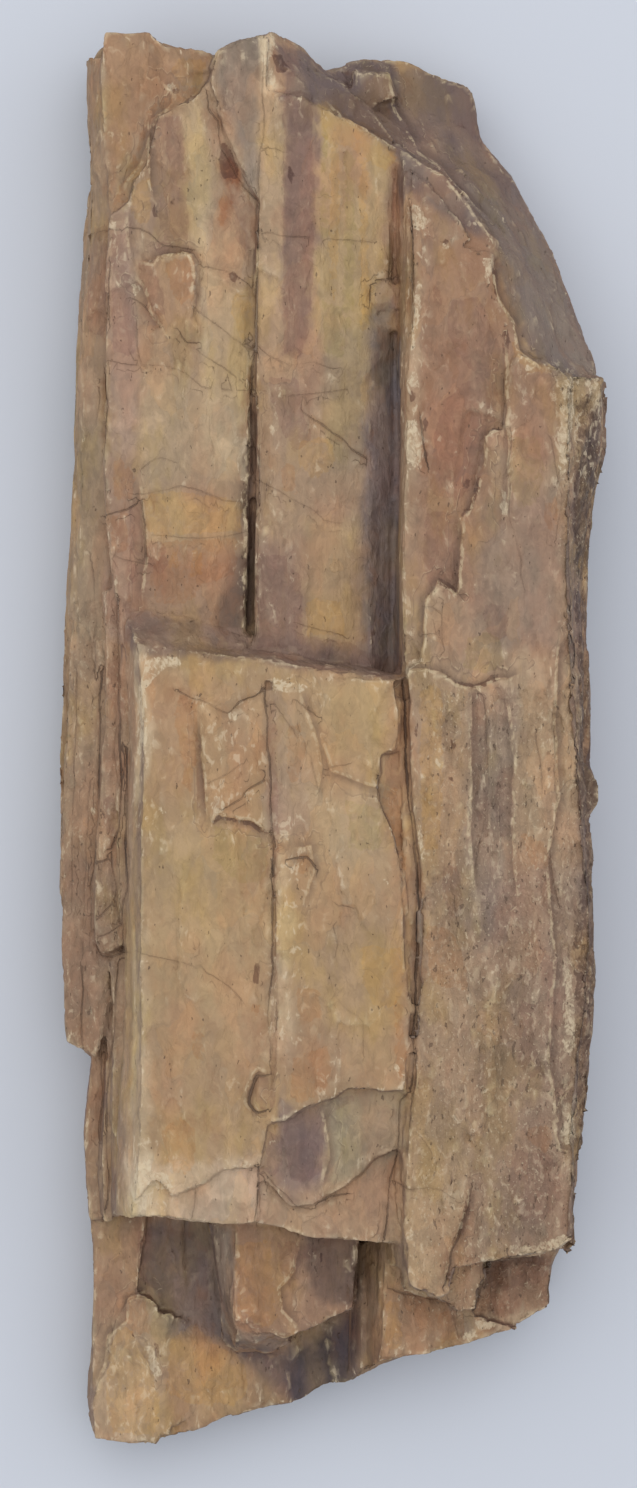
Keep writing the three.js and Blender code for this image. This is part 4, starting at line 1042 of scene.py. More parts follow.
markings["centre"] = [
    ("mauveStripe", "dusk", ((-10, 131), (-7.5, 131.5), (-4, 130.5), (-4, 119.5), (-3.5, 109), (-4, 93),
        (-5, 83), (-6.5, 76.5), (-10, 78.5), (-10, 101))),
    ("butterStripe", "light", ((-14.5, 131), (-10.5, 131.5), (-10, 109), (-10.5, 89), (-11, 74.5),
        (-14, 74.5), (-15, 89))),
    ("stripeSpot", "deep", box(-8, 113, -7, 111.5)),
    ("stripeLine", "deep", ((-9, 116.5), (-8, 116), (-8.5, 113), (-9, 113.5))),
    ("headWhite", "pale", ((-14, 143), (-12, 143.5), (-11, 141), (-13, 137.5), (-13.5, 134.5),
        (-14.5, 135.5))),
    ("headWhiteLow", "pale", ((-14, 135), (-12, 135), (-11, 133.5), (-12.5, 132), (-14, 132.5))),
    ("headRed", "deep", ((-12, 138.5), (-10.5, 139.5), (-10, 138), (-8.5, 136), (-9.5, 135), (-11.5, 135))),
    ("yellowTop", "gold", ((-3, 130), (-0.5, 128.5), (5.5, 125.5), (12, 121.5), (13, 117.5), (10.5, 115),
        (3.5, 119.5), (-2, 121.5))),
    ("streakA", "gold", ((-0.5, 123.5), (1, 123), (1.5, 105), (0.5, 89), (-0.5, 90), (-0.5, 107))),
    ("streakB", "olive", ((2.5, 119.5), (4, 119), (4.5, 101), (3.5, 83), (2, 84), (2.5, 103))),
    ("streakC", "gold", ((5.5, 117.5), (7, 117), (7, 101), (7.5, 83), (5.5, 83), (5.5, 101))),
    ("streakD", "light", ((8.5, 111), (10.5, 111), (10, 96.5), (8.5, 96))),
    ("streakE", "olive", ((-2, 123.5), (-1, 123.5), (-1, 101), (-2.5, 101))),
    ("greenMiddle", "olive", ((-2, 89), (2.5, 87), (2, 77), (-1.5, 78.5))),
    ("brownMiddle", "dusk", ((-13, 73.5), (-7.5, 73), (-6, 66.5), (-4, 61), (-7.5, 58.5), (-10.5, 63),
        (-12.5, 69))),
    ("yellowMiddle", "gold", ((-6.5, 60), (-2, 61.5), (0.5, 59.5), (0, 55), (-4, 53), (-6.5, 55.5))),
    ("pinkLow", "dusk", ((-15.5, 38), (-10, 37.5), (-6.5, 33.5), (-6, 24.5), (-6.5, 19), (-15, 19))),
    ("pinkMiddle", "rust", ((-11, 56.5), (-7.5, 55.5), (-7, 50), (-10, 50.5))),
    ("goldFoot", "gold", ((-5.5, 28.5), (1.5, 28.5), (2.5, 21.5), (-5, 21.5))),
    ("greyFoot", "dusk", ((-8.5, 21.5), (2.5, 20.5), (10.5, 16.5), (10.5, 15), (-6.5, 17))),
    ("paleMiddle", "light", ((-14, 58), (-11.5, 58), (-11, 53), (-14, 53))),
    ("paleLow", "light", ((-14, 48.5), (-11.5, 47.5), (-10.5, 41.5), (-13, 39), (-14, 42.5))),
    ("notchGap", "dusk", ((8, 88.5), (10.5, 88.5), (12.5, 89.5), (13, 88), (10.5, 87), (9, 86.5))),
    ("notchChunk", "light", ((9, 86.5), (10.5, 87.5), (12, 86), (11.5, 83.5), (9.5, 83.5))),
]
markings["slab"] = [
    ("rimChip", "pale", ((15.5, 107), (17, 107.5), (18, 105.5), (19.5, 103.5), (18.5, 102.5), (16.5, 102.5),
        (15.5, 104.5))),
    ("rimLight", "pale", ((16.5, 91.5), (17.5, 91.5), (17, 84), (16, 78), (15.5, 78), (16, 84))),
    ("rimChipMiddle", "pale", ((15, 73.5), (17, 74), (17, 71), (16, 70.5), (15, 71))),
    ("rimChipLow", "pale", ((14.5, 64), (17, 64.5), (18, 60), (18, 56), (17, 55), (15, 55.5), (14.5, 59))),
    # painted shade in the nicks and the slot along the slab's rim
    ("rimNickShade", "deep", ((15, 70), (16.5, 70), (16.5, 68.5), (15.5, 67.5))),
    ("rimNickLowShade", "deep", ((18, 65), (19, 64), (19, 62), (18, 62))),
    ("rimSlotShade", "deep", ((18, 61), (18.5, 60), (19, 56), (18.5, 55), (18, 58))),
    ("rimStrip", "dusk", ((14, 102.5), (15.5, 102), (15.5, 92), (15.5, 83), (14.5, 81), (14, 88))),
    ("topChip", "pale", ((22, 100), (23, 99.5), (23.5, 98.5), (22, 98))),
    ("topChipRight", "light", ((25.5, 97.5), (28, 97.5), (28, 96.5), (26, 96))),
    # painted shade in a small nick beside the chip
    ("topNickShade", "deep", ((20.5, 100.5), (22.5, 100.5), (24, 99.5), (22, 99.5))),
    ("headEdgePale", "pale", ((30, 96.5), (32, 97), (32, 95.5), (31.5, 93.5), (31, 90), (30.5, 92))),
    ("headEdgeShade", "deep", ((32, 95.5), (33, 94.5), (33, 90), (32.5, 88), (32, 91))),
    ("upperStreak", "dusk", ((20, 91.5), (21.5, 91.5), (21.5, 87), (20.5, 86), (20, 88))),
    ("upperAmber", "dusk", ((23.5, 88), (29, 89), (31.5, 84), (33.5, 78), (33, 74), (27.5, 74), (24.5, 78),
        (22.5, 83))),
    ("seamShade", "deep", ((34, 83.5), (35, 83.5), (35.5, 80), (35, 76.5), (34, 77.5))),
    ("seamLight", "gold", ((36, 82.5), (37, 79), (39.5, 76), (44.5, 74.5), (43.5, 73.5), (39, 74),
        (36, 77))),
    ("mauveUpper", "dusk", ((22.5, 68.5), (27.5, 72.5), (30, 74), (32.5, 72), (33, 64), (31, 62.5), (30, 60),
        (30, 54), (28.5, 50.5), (25, 48.5), (20, 49), (19.5, 54), (20.5, 62))),
    ("mauvePatch", "dusk", ((18.5, 45), (21.5, 46.5), (25, 44.5), (25, 36.5), (25, 31), (21.5, 32.5),
        (19, 30.5), (18, 36.5))),
    ("curlShade", "deep", ((26, 52), (27, 53), (27.5, 52), (27, 50), (26, 50))),
    ("curlShadeLow", "deep", ((29, 53), (29.5, 53), (29, 50), (28.5, 48), (27.5, 46), (25.5, 44.5),
        (25.5, 45.5), (27.5, 47.5), (28, 50))),
    ("notchShade", "deep", ((21, 33), (22.5, 32), (24.5, 31), (25.5, 29.5), (24.5, 29.5), (22.5, 30.5),
        (21, 31.5))),
    ("tabNick", "deep", ((31.5, 62.5), (34, 62.5), (34, 62), (32, 62))),
    ("tabPale", "light", ((31.5, 61.5), (34.5, 61.5), (34.5, 59), (33.5, 58), (33, 55), (31.5, 54))),
    ("oliveField", "olive", ((36, 61), (41.5, 60), (42, 52), (40.5, 47), (36.5, 47), (35, 54))),
    ("paleBar", "pale", ((33.5, 51), (34.5, 51), (35, 47), (34.5, 43), (34, 43.5), (33.5, 47))),
    ("paleStreak", "light", ((41, 43), (42.5, 43), (42.5, 36), (41.5, 36.5))),
    ("dimplePale", "pale", ((14.5, 15), (16, 16.5), (18, 16.5), (18.5, 16), (16, 15), (15, 12.5),
        (14.5, 12.5))),
    ("shelfShade", "deep", ((23.5, 12.5), (26, 12), (28.5, 11.5), (30.5, 12), (32, 13.5), (34, 13), (32, 12),
        (29.5, 10.5), (25.5, 11))),
    ("oliveShelf", "olive", ((26.5, 20.5), (30.5, 22), (33.5, 20.5), (34, 15), (30.5, 13.5), (26.5, 14.5))),
    ("mauveMiddle", "dusk", ((30.5, 28.5), (34.5, 26.5), (35, 20.5), (31.5, 20.5), (30, 24.5))),
    ("tanChunk", "light", ((26, 41), (30, 40.5), (30.5, 34.5), (27.5, 32.5), (26, 34.5))),
    ("bevelPale", "pale", ((46, 72), (47.5, 73), (48.5, 68), (47.5, 60), (46.5, 54), (45.5, 53), (45, 60),
        (45.5, 66))),
    ("bevelPaleOuter", "pale", ((50.5, 73.5), (52.5, 73), (54, 69), (54, 64.5), (52.5, 66.5), (51.5, 69))),
    ("bevelStain", "rust", ((42.5, 48), (44.5, 48.5), (45, 44.5), (43.5, 41.5), (42, 43.5))),
    ("honeyStripe", "gold", ((17.5, 10.5), (21.5, 11.5), (22, 4.5), (22, -7.5), (21, -21.5), (18, -21.5),
        (17.5, -3.5))),
    ("greyBand", "dusk", ((27.5, 10), (30.5, 10), (31, 0.5), (31, -11.5), (29, -17.5), (28, -7.5))),
    ("paleField", "light", ((31, 10), (34, 10.5), (36, 4.5), (36.5, -3), (32, -3))),
    ("fleckA", "deep", box(16, 4, 17, 0.5)),
    ("fleckB", "deep", box(22.5, 4.5, 23, 3.5)),
    ("fleckC", "deep", ((23, 0.5), (24.5, 0.5), (24.5, -1), (24, -2))),
    ("fleckD", "deep", ((23, -6.5), (24, -7), (24, -8), (23, -7.5))),
    ("rimFleck", "pale", ((16.5, -17), (17.5, -16.5), (18, -20.5), (18.5, -23), (17.5, -22))),
    ("palePool", "light", ((44.5, -22), (47.5, -22), (49, -25.5), (47.5, -29.5), (45.5, -28.5))),
    ("mauveBandA", "dusk", ((22, -24), (25, -25), (26, -31.5), (25, -36.5), (23, -34.5), (22, -29.5))),
    ("mauveSpread", "dusk", ((33.5, -5.5), (36, -5), (36.5, -11.5), (36, -18.5), (33.5, -19), (32, -13))),
    ("roseSpread", "rust", ((38, -18.5), (42.5, -20), (43.5, -25), (39.5, -25.5))),
    ("amberTail", "rust", ((18.5, -36.5), (23.5, -37.5), (26, -42.5), (27, -49.5), (21.5, -49),
        (19, -46.5))),
    ("paleRib", "pale", ((46, -43), (47.5, -43), (48, -49.5), (48.5, -55.5), (48.5, -62), (46.5, -62.5),
        (46, -57.5), (46.5, -51.5))),
    ("mauveLow", "dusk", ((37.5, -51.5), (40.5, -52.5), (40.5, -61.5), (42.5, -67), (39, -67), (37, -63.5))),
    ("paleLow", "light", ((34, -68.5), (36.5, -68.5), (37.5, -72.5), (36.5, -77.5), (34.5, -77))),
    ("rustLow", "rust", ((38.5, -76.5), (43, -77), (44.5, -80), (42.5, -82), (39.5, -80.5))),
    ("paleRibLow", "pale", ((46, -72), (48, -72.5), (48.5, -79.5), (46.5, -80.5), (45.5, -79))),
    ("umberLow", "dusk", ((36, -81.5), (42.5, -82.5), (45.5, -84.5), (45.5, -91.5), (41.5, -96.5),
        (36.5, -95.5), (35, -87.5))),
    ("paleDot", "pale", ((40, -85), (41.5, -85), (41.5, -86.5), (40.5, -86.5))),
    ("splitShade", "deep", ((27, -89.5), (28, -92), (27, -95), (26, -98), (24.5, -99.5), (25, -97),
        (26, -94), (26.5, -91))),
    ("paleDrop", "pale", ((18, -93), (18.5, -93.5), (19, -96), (18, -96))),
    ("footPale", "pale", ((35.5, -100.5), (39.5, -101), (42.5, -100), (46.5, -98.5), (47.5, -99.5),
        (45.5, -101.5), (39.5, -102.5), (35, -102))),
    ("tailFoot", "light", ((14.5, -99.5), (21.5, -100), (22, -106.5), (19.5, -108), (15, -107.5))),
]
markings["slabFlank"] = [
    ("flankDark", "crust", ((49, 68.5), (51.5, 70), (53.5, 66), (54, 60.5), (53.5, 53.5), (52, 48.5),
        (52.5, 40.5), (51.5, 33), (49, 33.5), (48.5, 40.5), (48, 47.5), (48.5, 54.5), (49, 60.5))),
    ("flankCrustHigh", "crust", ((48.5, 30.5), (52, 30.5), (52.5, 8.5), (54, -3.5), (55.5, -9.5), (54, -16),
        (53, -21.5), (51, -21.5), (49.5, -15.5), (48.5, -7.5), (49.5, 8.5))),
    ("flankCrustLow", "crust", ((51, -21.5), (54, -21.5), (53.5, -52), (53.5, -102), (48.5, -102), (49, -82),
        (49, -68), (48.5, -52), (48, -38))),
    ("flankDarkLow", "crust", ((49.5, -64.5), (51.5, -62), (52, -72), (51.5, -80), (49.5, -84), (49.5, -92),
        (48.5, -92), (49.5, -78))),
]
markings["block"] = [
    ("leftCream", "pale", ((-38.5, 12), (-37.5, 12), (-37.5, 4), (-36.5, 2.5), (-37, 0.5), (-38.5, -2),
        (-38.5, -4), (-39, -4), (-39, 4.5))),
    ("rimCream", "pale", ((-37.5, 17), (-30.5, 17), (-30, 15.5), (-33.5, 14.5), (-36, 12.5), (-37.5, 10.5),
        (-38, 14))),
    ("rimCreamRight", "pale", ((-12.5, 12.5), (-6.5, 11.5), (-5, 10.5), (-8.5, 9.5), (-12, 10.5))),
    ("paleCorner", "light", ((-18, 8), (-14, 9.5), (-14, -0.5), (-15, -2), (-17.5, 2.5))),
    ("chipWhite", "pale", ((-20.5, 5.5), (-19.5, 6.5), (-18.5, 5.5), (-19, 4), (-20.5, 4.5))),
    ("chipWhiteLow", "pale", ((-24, -11), (-22, -11), (-21.5, -12), (-21.5, -14), (-23.5, -15),
        (-24.5, -12.5))),
    ("chipDot", "pale", ((-34.5, -13), (-33.5, -13), (-33.5, -14.5), (-34.5, -14))),
    ("flakeBand", "dusk", ((-27.5, 1.5), (-26.5, -0.5), (-25.5, -7.5), (-25.5, -13.5), (-27, -14),
        (-27.5, -7.5))),
    ("flakeFoot", "deep", ((-24, -16), (-23, -14.5), (-19.5, -15.5), (-16, -16), (-14, -17), (-12.5, -18.5),
        (-14, -18.5), (-16.5, -17), (-19.5, -16), (-22.5, -15.5), (-24, -17))),
    ("darkDot", "deep", ((-28, -14.5), (-27, -14), (-27, -15), (-28, -15))),
    ("footOlive", "olive", ((-24, -17), (-16.5, -17.5), (-13, -20), (-13, -27.5), (-18.5, -28.5),
        (-23.5, -24))),
    ("rustSlot", "deep", ((-15.5, -44), (-14.5, -44), (-14.5, -46.5), (-15, -49), (-16, -48.5))),
    ("rustDot", "rust", ((-16.5, -53), (-14.5, -52.5), (-15.5, -55.5), (-16, -55.5))),
    ("recessTop", "dusk", ((-15.5, -67), (-12.5, -67), (-13, -71.5), (-13.5, -73.5), (-15.5, -72.5),
        (-16, -69.5))),
    ("footRust", "rust", ((-33.5, -77), (-30.5, -75), (-27.5, -77.5), (-27, -81.5), (-28.5, -86),
        (-31, -86.5), (-32.5, -83.5), (-34, -80.5))),
    ("footPale", "pale", ((-36, -86), (-33.5, -86), (-31, -88), (-33, -89.5), (-35.5, -89.5))),
    ("footCorner", "pale", ((-39, -84), (-36.5, -83), (-35.5, -89), (-36.5, -93.5), (-38.5, -94),
        (-40, -89.5))),
    ("middleRust", "rust", ((-28.5, -57.5), (-26, -58.5), (-26, -63.5), (-28, -63))),
    ("seamStrip", "dusk", ((-13, 10), (-11.5, 7.5), (-11, -11.5), (-11, -31.5), (-11, -51.5), (-11.5, -73),
        (-12.5, -73), (-12.5, -51.5), (-12, -31.5), (-12.5, -11.5))),
    ("leftRust", "rust", ((-30.5, 9.5), (-27, 8), (-27, 0.5), (-28, -9.5), (-29.5, -11.5), (-30, -3.5),
        (-32, 4.5))),
    ("pinkBlot", "rust", ((-9, 3.5), (-6.5, 3.5), (-5.5, -0.5), (-6, -5.5), (-7.5, -9), (-9, -7.5))),
    ("mauveNotch", "dusk", ((10.5, -2), (13, -1), (14, -3.5), (14, -9.5), (11, -9), (10, -5.5))),
    ("rustNotch", "rust", ((10, -9.5), (13, -9.5), (14, -17.5), (14.5, -25.5), (13.5, -25.5), (12, -17.5),
        (10, -12.5))),
    ("palePlume", "light", ((-10.5, -19), (-9, -17.5), (-8.5, -23.5), (-8.5, -34.5), (-10, -35),
        (-10.5, -27.5))),
    ("hookBlot", "rust", ((-7.5, -21), (-6, -22), (-4, -24), (-4.5, -26.5), (-7.5, -26))),
    ("rightGreen", "olive", ((2.5, -11.5), (9.5, -13.5), (9, -21.5), (3.5, -21.5))),
    ("rightGold", "gold", ((5.5, -40.5), (14, -41.5), (14, -51.5), (8.5, -53.5), (6, -47.5))),
    ("rightRust", "rust", ((-8, -63.5), (-1.5, -60.5), (0, -65.5), (-1.5, -69.5), (-5.5, -72),
        (-8.5, -71.5))),
    ("rightRustHigh", "rust", ((-7.5, -48.5), (-3, -49.5), (-2, -55.5), (-6.5, -56.5))),
    ("rustEdge", "rust", ((12.5, -51.5), (14, -51.5), (14.5, -63.5), (13.5, -68.5), (12.5, -63.5))),
    ("whiteNick", "pale", ((10, -27.5), (11, -28), (11.5, -29), (11, -29.5))),
    ("whitePeak", "pale", ((12.5, -64.5), (13.5, -64.5), (13, -66), (12.5, -66.5))),
]
markings["blockLow"] = [
    ("stepPurple", "dusk", ((-10, -76), (-6.5, -74.5), (-3, -72.5), (-1.5, -75.5), (-2, -81.5), (-2.5, -86),
        (-5.5, -88.5), (-8.5, -87.5), (-9.5, -81.5))),
    ("stepPurpleHigh", "dusk", ((-10, -76.5), (-6.5, -74), (-3, -72.5), (1, -71), (5.5, -71), (3.5, -72.5),
        (-0.5, -74), (-3, -79.5), (-7, -78.5), (-9, -77.5))),
    ("stepCream", "light", ((-1.5, -78), (2.5, -78), (6, -79.5), (5, -83.5), (1.5, -85), (-1, -84))),
    ("stepPale", "pale", ((-40, -89.5), (-36.5, -89.5), (-36, -93), (-39, -94))),
    ("stepDot", "pale", ((-13, -83.5), (-12, -83), (-12, -84.5), (-13, -84.5))),
    ("stepDotHigh", "pale", ((-12.5, -80), (-11.5, -80), (-11.5, -80.5), (-12.5, -81))),
    ("stepBlush", "dusk", ((-13, -77.5), (-10, -79), (-10, -83.5), (-11.5, -87), (-13.5, -85.5))),
    ("stepGrey", "light", ((2, -72.5), (11.5, -72.5), (12.5, -76.5), (8, -79), (2.5, -76.5))),
]
markings["lowerBlock"] = [
    ("yellowTop", "gold", ((-20, -101.5), (-13, -101), (-12, -111), (-11.5, -118.5), (-15, -118.5),
        (-19, -115))),
    ("topShade", "dusk", ((-11.5, -101), (-2.5, -102), (-3.5, -104), (-6.5, -105.5), (-8.5, -111),
        (-10, -109))),
    ("paleRib", "light", ((-4, -102), (-3, -102), (-2.5, -105.5), (-4, -106))),
    ("slotShade", "deep", ((-2.5, -103.5), (-2, -103.5), (-2, -106), (-2.5, -105.5))),
    ("footGold", "light", ((-9.5, -117), (-6.5, -116.5), (-6.5, -119.5), (-8.5, -120.5), (-10.5, -119))),
]
markings["lowerPlate"] = [
    ("honeySweep", "gold", ((-33, -122), (-28, -119.5), (-24.5, -123), (-19, -126.5), (-17, -133),
        (-20, -136), (-29, -136), (-34, -133))),
    # painted shadow under the block's foot, over mauve stone
    ("purpleHollowShade", "dusk", ((-40, -100), (-35.5, -99.5), (-29, -100.5), (-25.5, -104.5), (-25.5, -114.5),
        (-28, -117), (-35.5, -116), (-36, -112.5), (-39.5, -110.5))),
]
markings["channel"] = [
    ("wallShade", "dusk", ((12, 117), (14.5, 116), (14.5, 81.5), (12.5, 81.5))),
]
markings["corner"] = [
    ("flakePale", "pale", ((-38, -123.5), (-36.5, -123.5), (-36, -126.5), (-35, -129.5), (-36, -130),
        (-37.5, -128.5))),
    ("flakeShade", "deep", ((-36.5, -122.5), (-35.5, -123.5), (-35, -126), (-36, -126.5), (-36.5, -124.5))),
    ("cornerPale", "light", ((-48.5, -133), (-46.5, -128), (-45, -122), (-42, -119.5), (-38, -122.5),
        (-37, -134.5), (-37.5, -143), (-49, -143))),
    ("flakeGold", "gold", ((-45, -121), (-42, -119.5), (-38, -124.5), (-35.5, -134.5), (-35.5, -142),
        (-45.5, -141), (-46.5, -132.5))),
    ("upperRust", "rust", ((-42, -112), (-38, -114), (-37.5, -120.5), (-39.5, -122.5), (-42, -119.5))),
]
markings["lowerCorner"] = [
    ("goldEdge", "gold", ((11, -114), (13.5, -113.5), (14, -122.5), (11.5, -124), (10.5, -121.5))),
    ("sideRust", "rust", ((21, -116), (26.5, -115.5), (26.5, -121), (22, -122))),
    ("sidePale", "pale", ((29, -117.5), (32, -117), (34, -118), (32, -119.5), (29.5, -119.5))),
    ("sidePaleLeft", "pale", ((26.5, -120), (28.5, -119.5), (28.5, -121), (26.5, -121.5))),
    ("recessShade", "dusk", ((31, -106), (44.5, -104), (45, -107.5), (41, -110.5), (36, -111.5),
        (31, -111))),
    # painted shade along the upper edge of the recess
    ("recessEdgeShade", "dusk", ((31, -106), (44.5, -104), (44.5, -106), (31.5, -107.5))),
]
markings["splinters"] = [
    ("splinterPale", "light", ((-47, -20), (-44.5, -19.5), (-44.5, -23.5), (-47.5, -24))),
    ("splinterCell", "light", ((-47.5, -25.5), (-45.5, -25), (-44.5, -29), (-44.5, -31.5), (-47, -33.5),
        (-48, -30))),
    ("splinterCellLow", "light", ((-47.5, -36), (-44.5, -34.5), (-43.5, -36.5), (-46.5, -38))),
    ("splinterCellFoot", "light", ((-47.5, -40), (-43.5, -38), (-42.5, -41.5), (-45.5, -43), (-47, -42))),
    ("stripPale", "pale", ((-49, -12), (-48.5, -12), (-48, -15), (-49, -15.5))),
    ("stripShade", "dusk", ((-46.5, -12), (-44.5, -10), (-43.5, -16), (-44.5, -19.5), (-46, -18))),
]

colouring = {
    "base": "tan",
    "side": "bark",
    "under": "slate",
    "edge": "cream",
    # hollow is the colour of the painted shade in closed-in places
    "hollow": "umber",
    "sideAmount": 0.75,
    "underAmount": 0.8,
    "edgeAmount": 0.55,
    "hollowShadeAmount": 0.35,
    "patchCell": (4, 12, 4),   # the patches' unevenness, mm
    "firstSeed": 40,           # each patch has the next seed
    "leanHeight": 38,          # below this the borders on the flanks slant, mm
    "topHeights": (37, 40),    # the smooth tops begin between these heights, mm
    "lineReach": 1.0,        # lines are drawn this far from their middle, mm
    "lineFade": 0.8,         # and fade over this much more
    "lineLimit": 2.0,        # their distance is known up to here, mm
    "lineSearch": 1.2,       # how far past the reach points are looked for, mm
    "stainReach": 4.5,       # rust reaches this far from a crack, mm
    "ledgeReach": 2.6,       # shade and pale rims reach this far from a low step, mm
    "markReach": 2.0,        # how far from its border a marking's depth is known, mm
    "edgeReach": 4,          # how many points across the pale edges are looked for
    "rubbedReach": 10,
    "rayCount": 26,          # rays from each point that find the hollows
    "rayStart": 0.0004,      # in metres, as the next
    "rayLength": 0.020,
    "rayFacing": 0.25,       # rays nearer to the surface than this are left out
}


def blendColour(colours, name, strength):
    target = np.array(linear(palette[name])[:3])
    return colours + (target - colours) * strength[:, None]


def evenDirections(count):
    # directions spread evenly over a sphere
    steps = np.arange(count) + 0.5
    rise = 1 - 2 * steps / count
    turn = steps * math.pi * (3 - math.sqrt(5))
    ring = np.sqrt(1 - rise * rise)
    return np.stack([ring * np.cos(turn), ring * np.sin(turn), rise], axis=1)


def hollowStrength(stone, places, normals):
    # how much of its surroundings closes a point in
    mesh = stone.data
    tree = BVHTree.FromPolygons(
        [vertex.co for vertex in mesh.vertices],
        [tuple(polygon.vertices) for polygon in mesh.polygons],
    )
    closed = np.zeros(len(places))
    total = np.zeros(len(places))
    starts = places / 1000 + normals * colouring["rayStart"]
    for direction in evenDirections(colouring["rayCount"]):
        facing = normals @ direction
        ray = Vector(direction)
        for index in np.nonzero(facing > colouring["rayFacing"])[0]:
            weight = facing[index]
            total[index] += weight
            if tree.ray_cast(Vector(starts[index]), ray, colouring["rayLength"])[0] is not None:
                closed[index] += weight
    return closed / np.maximum(total, 1e-6)


def fibrousStrength(places, normals):
    # the block's tops are smooth, and the flanks and splinters are the most fibrous
    strength = 1 - 0.55 * smoothStep(normals[:, 2], 0.3, 0.8)
    tops = smoothStep(places[:, 2], *colouring["topHeights"])
    return strength * (1 - areasStrength(places, smoothAreas) * tops)


def stainStrength(places, normals, hollow):
    # rust gathers beside open cracks and in hollows
    strength = 0.55 * smoothStep(hollow, 0.1, 0.5)
    reach = colouring["stainReach"]
    for block, kind, line in everyLine():
        if kind != "vein":
            index, distance = nearLine(places, normals, block, line, reach)[:2]
            close = lineKinds[kind][2] * (1 - smoothStep(distance, 0.2, reach))
            strength[index] = np.maximum(strength[index], close)
    return np.clip(strength + areasStrength(places, stainedAreas), 0, 1)


def nearestOf(places, normals, lines, reach, unset):
    # signed distance to the nearest of several lines, and how strong that line is at each point
    signed = np.full(len(places), unset)
    strength = np.zeros(len(places))
    nearest = np.full(len(places), 1e9)
    for block, line, strengthAt in lines:
        index, distance, side = nearLine(places, normals, block, line, reach)
        closer = distance < nearest[index]
        index, distance = index[closer], distance[closer]
        nearest[index] = distance
        signed[index] = distance * side[closer]
        strength[index] = strengthAt(distance, places[index, :2], line)
    return signed, strength


def lineShading(places, normals):
    reach, fade, limit = (colouring[name] for name in ("lineReach", "lineFade", "lineLimit"))

    def drawn(darkness):
        return lambda distance, flat, line: darkness * (1 - smoothStep(distance, reach, reach + fade))

    lines = [(block, line, drawn(lineKinds[kind][2])) for block, kind, line in everyLine()]
    signed, strength = nearestOf(places, normals, lines, reach + colouring["lineSearch"], limit)
    strength *= 0.75 + 0.45 * patternAt(places, "lineDarkness")
    return np.clip(signed, -limit, limit), np.clip(strength, 0, 1)


def ledgeShading(places, normals):
    # distance to the nearest low step, positive on its low side, and how strong its shade is
    reach = colouring["ledgeReach"]

    def stepped(drop):
        return lambda distance, flat, line: min(0.4 + 0.7 * drop, 1) * fadeAtEnds(flat, line, 0, 2.5)

    lines = [(block, line, stepped(drop)) for block, drop, lowReach, line in surfaceLedges.values()]
    return nearestOf(places, normals, lines, reach, -reach)


def leaned(places, normals):
    # on the flanks the colours' borders slant and wander instead of running straight down
    steep = 1 - smoothStep(normals[:, 2], 0.25, 0.6)
    drop = np.maximum(colouring["leanHeight"] - places[:, 2], 0)
    moved = places.copy()
    moved[:, 1] += steep * drop * (0.35 + 0.55 * patternAt(places, "flankLean"))
    return moved


def markDepths(places):
    # how deep each point lies inside the markings of each kind, mm, negative outside
    reach = colouring["markReach"]
    depths = {kind: np.full(len(places), -reach) for kind in markKinds}
    for block, rows in markings.items():
        inBlock = heightStrength(places[:, 2], block) > 0.5
        for name, kind, outline in rows:
            near = nearCorners(places[:, :2], outline, reach)
            index = np.nonzero(near & inBlock)[0]
            depth = np.clip(outlineDepth(places[index, :2], outline), -reach, reach)
            depths[kind][index] = np.maximum(depths[kind][index], depth)
    return depths


def tintSurface(places, normals, bulge, hollow):
    colours = np.tile(np.array(linear(palette[colouring["base"]])[:3]), (len(places), 1))
    seed = colouring["firstSeed"]
    slanted = leaned(places, normals)
    for block, rows in colourPatches.items():
        inBlock = heightStrength(places[:, 2], block)
        for name, colour, amount, feather, outline in rows:
            seed += 1
            mask = areaStrength(slanted, outline, feather, wandering["patchBorder"], seed) * inBlock
            uneven = 0.85 + 0.3 * layeredNoise(places / np.array(colouring["patchCell"]), seed, 2)
            colours = blendColour(colours, colour, np.clip(mask * amount * uneven, 0, 1))
    facingUp = smoothStep(normals[:, 2], 0.25, 0.75)
    flank = (1 - facingUp) * (1 - areasStrength(places, paleFlanks))
    colours = blendColour(colours, colouring["side"], colouring["sideAmount"] * flank)
    facingDown = smoothStep(-normals[:, 2], 0.5, 0.9)
    colours = blendColour(colours, colouring["under"], colouring["underAmount"] * facingDown)
    edge = smoothStep(bulge, 0.10, 0.45) * smoothStep(patternAt(places, "rubbedEdges"), -0.35, 0.5)
    colours = blendColour(colours, colouring["edge"], colouring["edgeAmount"] * edge)
    # painted shade: places closed in by their surroundings are darkened towards the hollow colour
    shade = smoothStep(hollow, 0.25, 0.8)
    colours = blendColour(colours, colouring["hollow"], colouring["hollowShadeAmount"] * shade)
    resting = places[:, 2] < stoneShape["restingHeight"]
    return blendColour(colours, colouring["under"], resting.astype(float))


def storeNumbers(mesh, name, values):
    layer = mesh.attributes.new(name, "FLOAT", "POINT")
    layer.data.foreach_set("value", values.astype(np.float32))


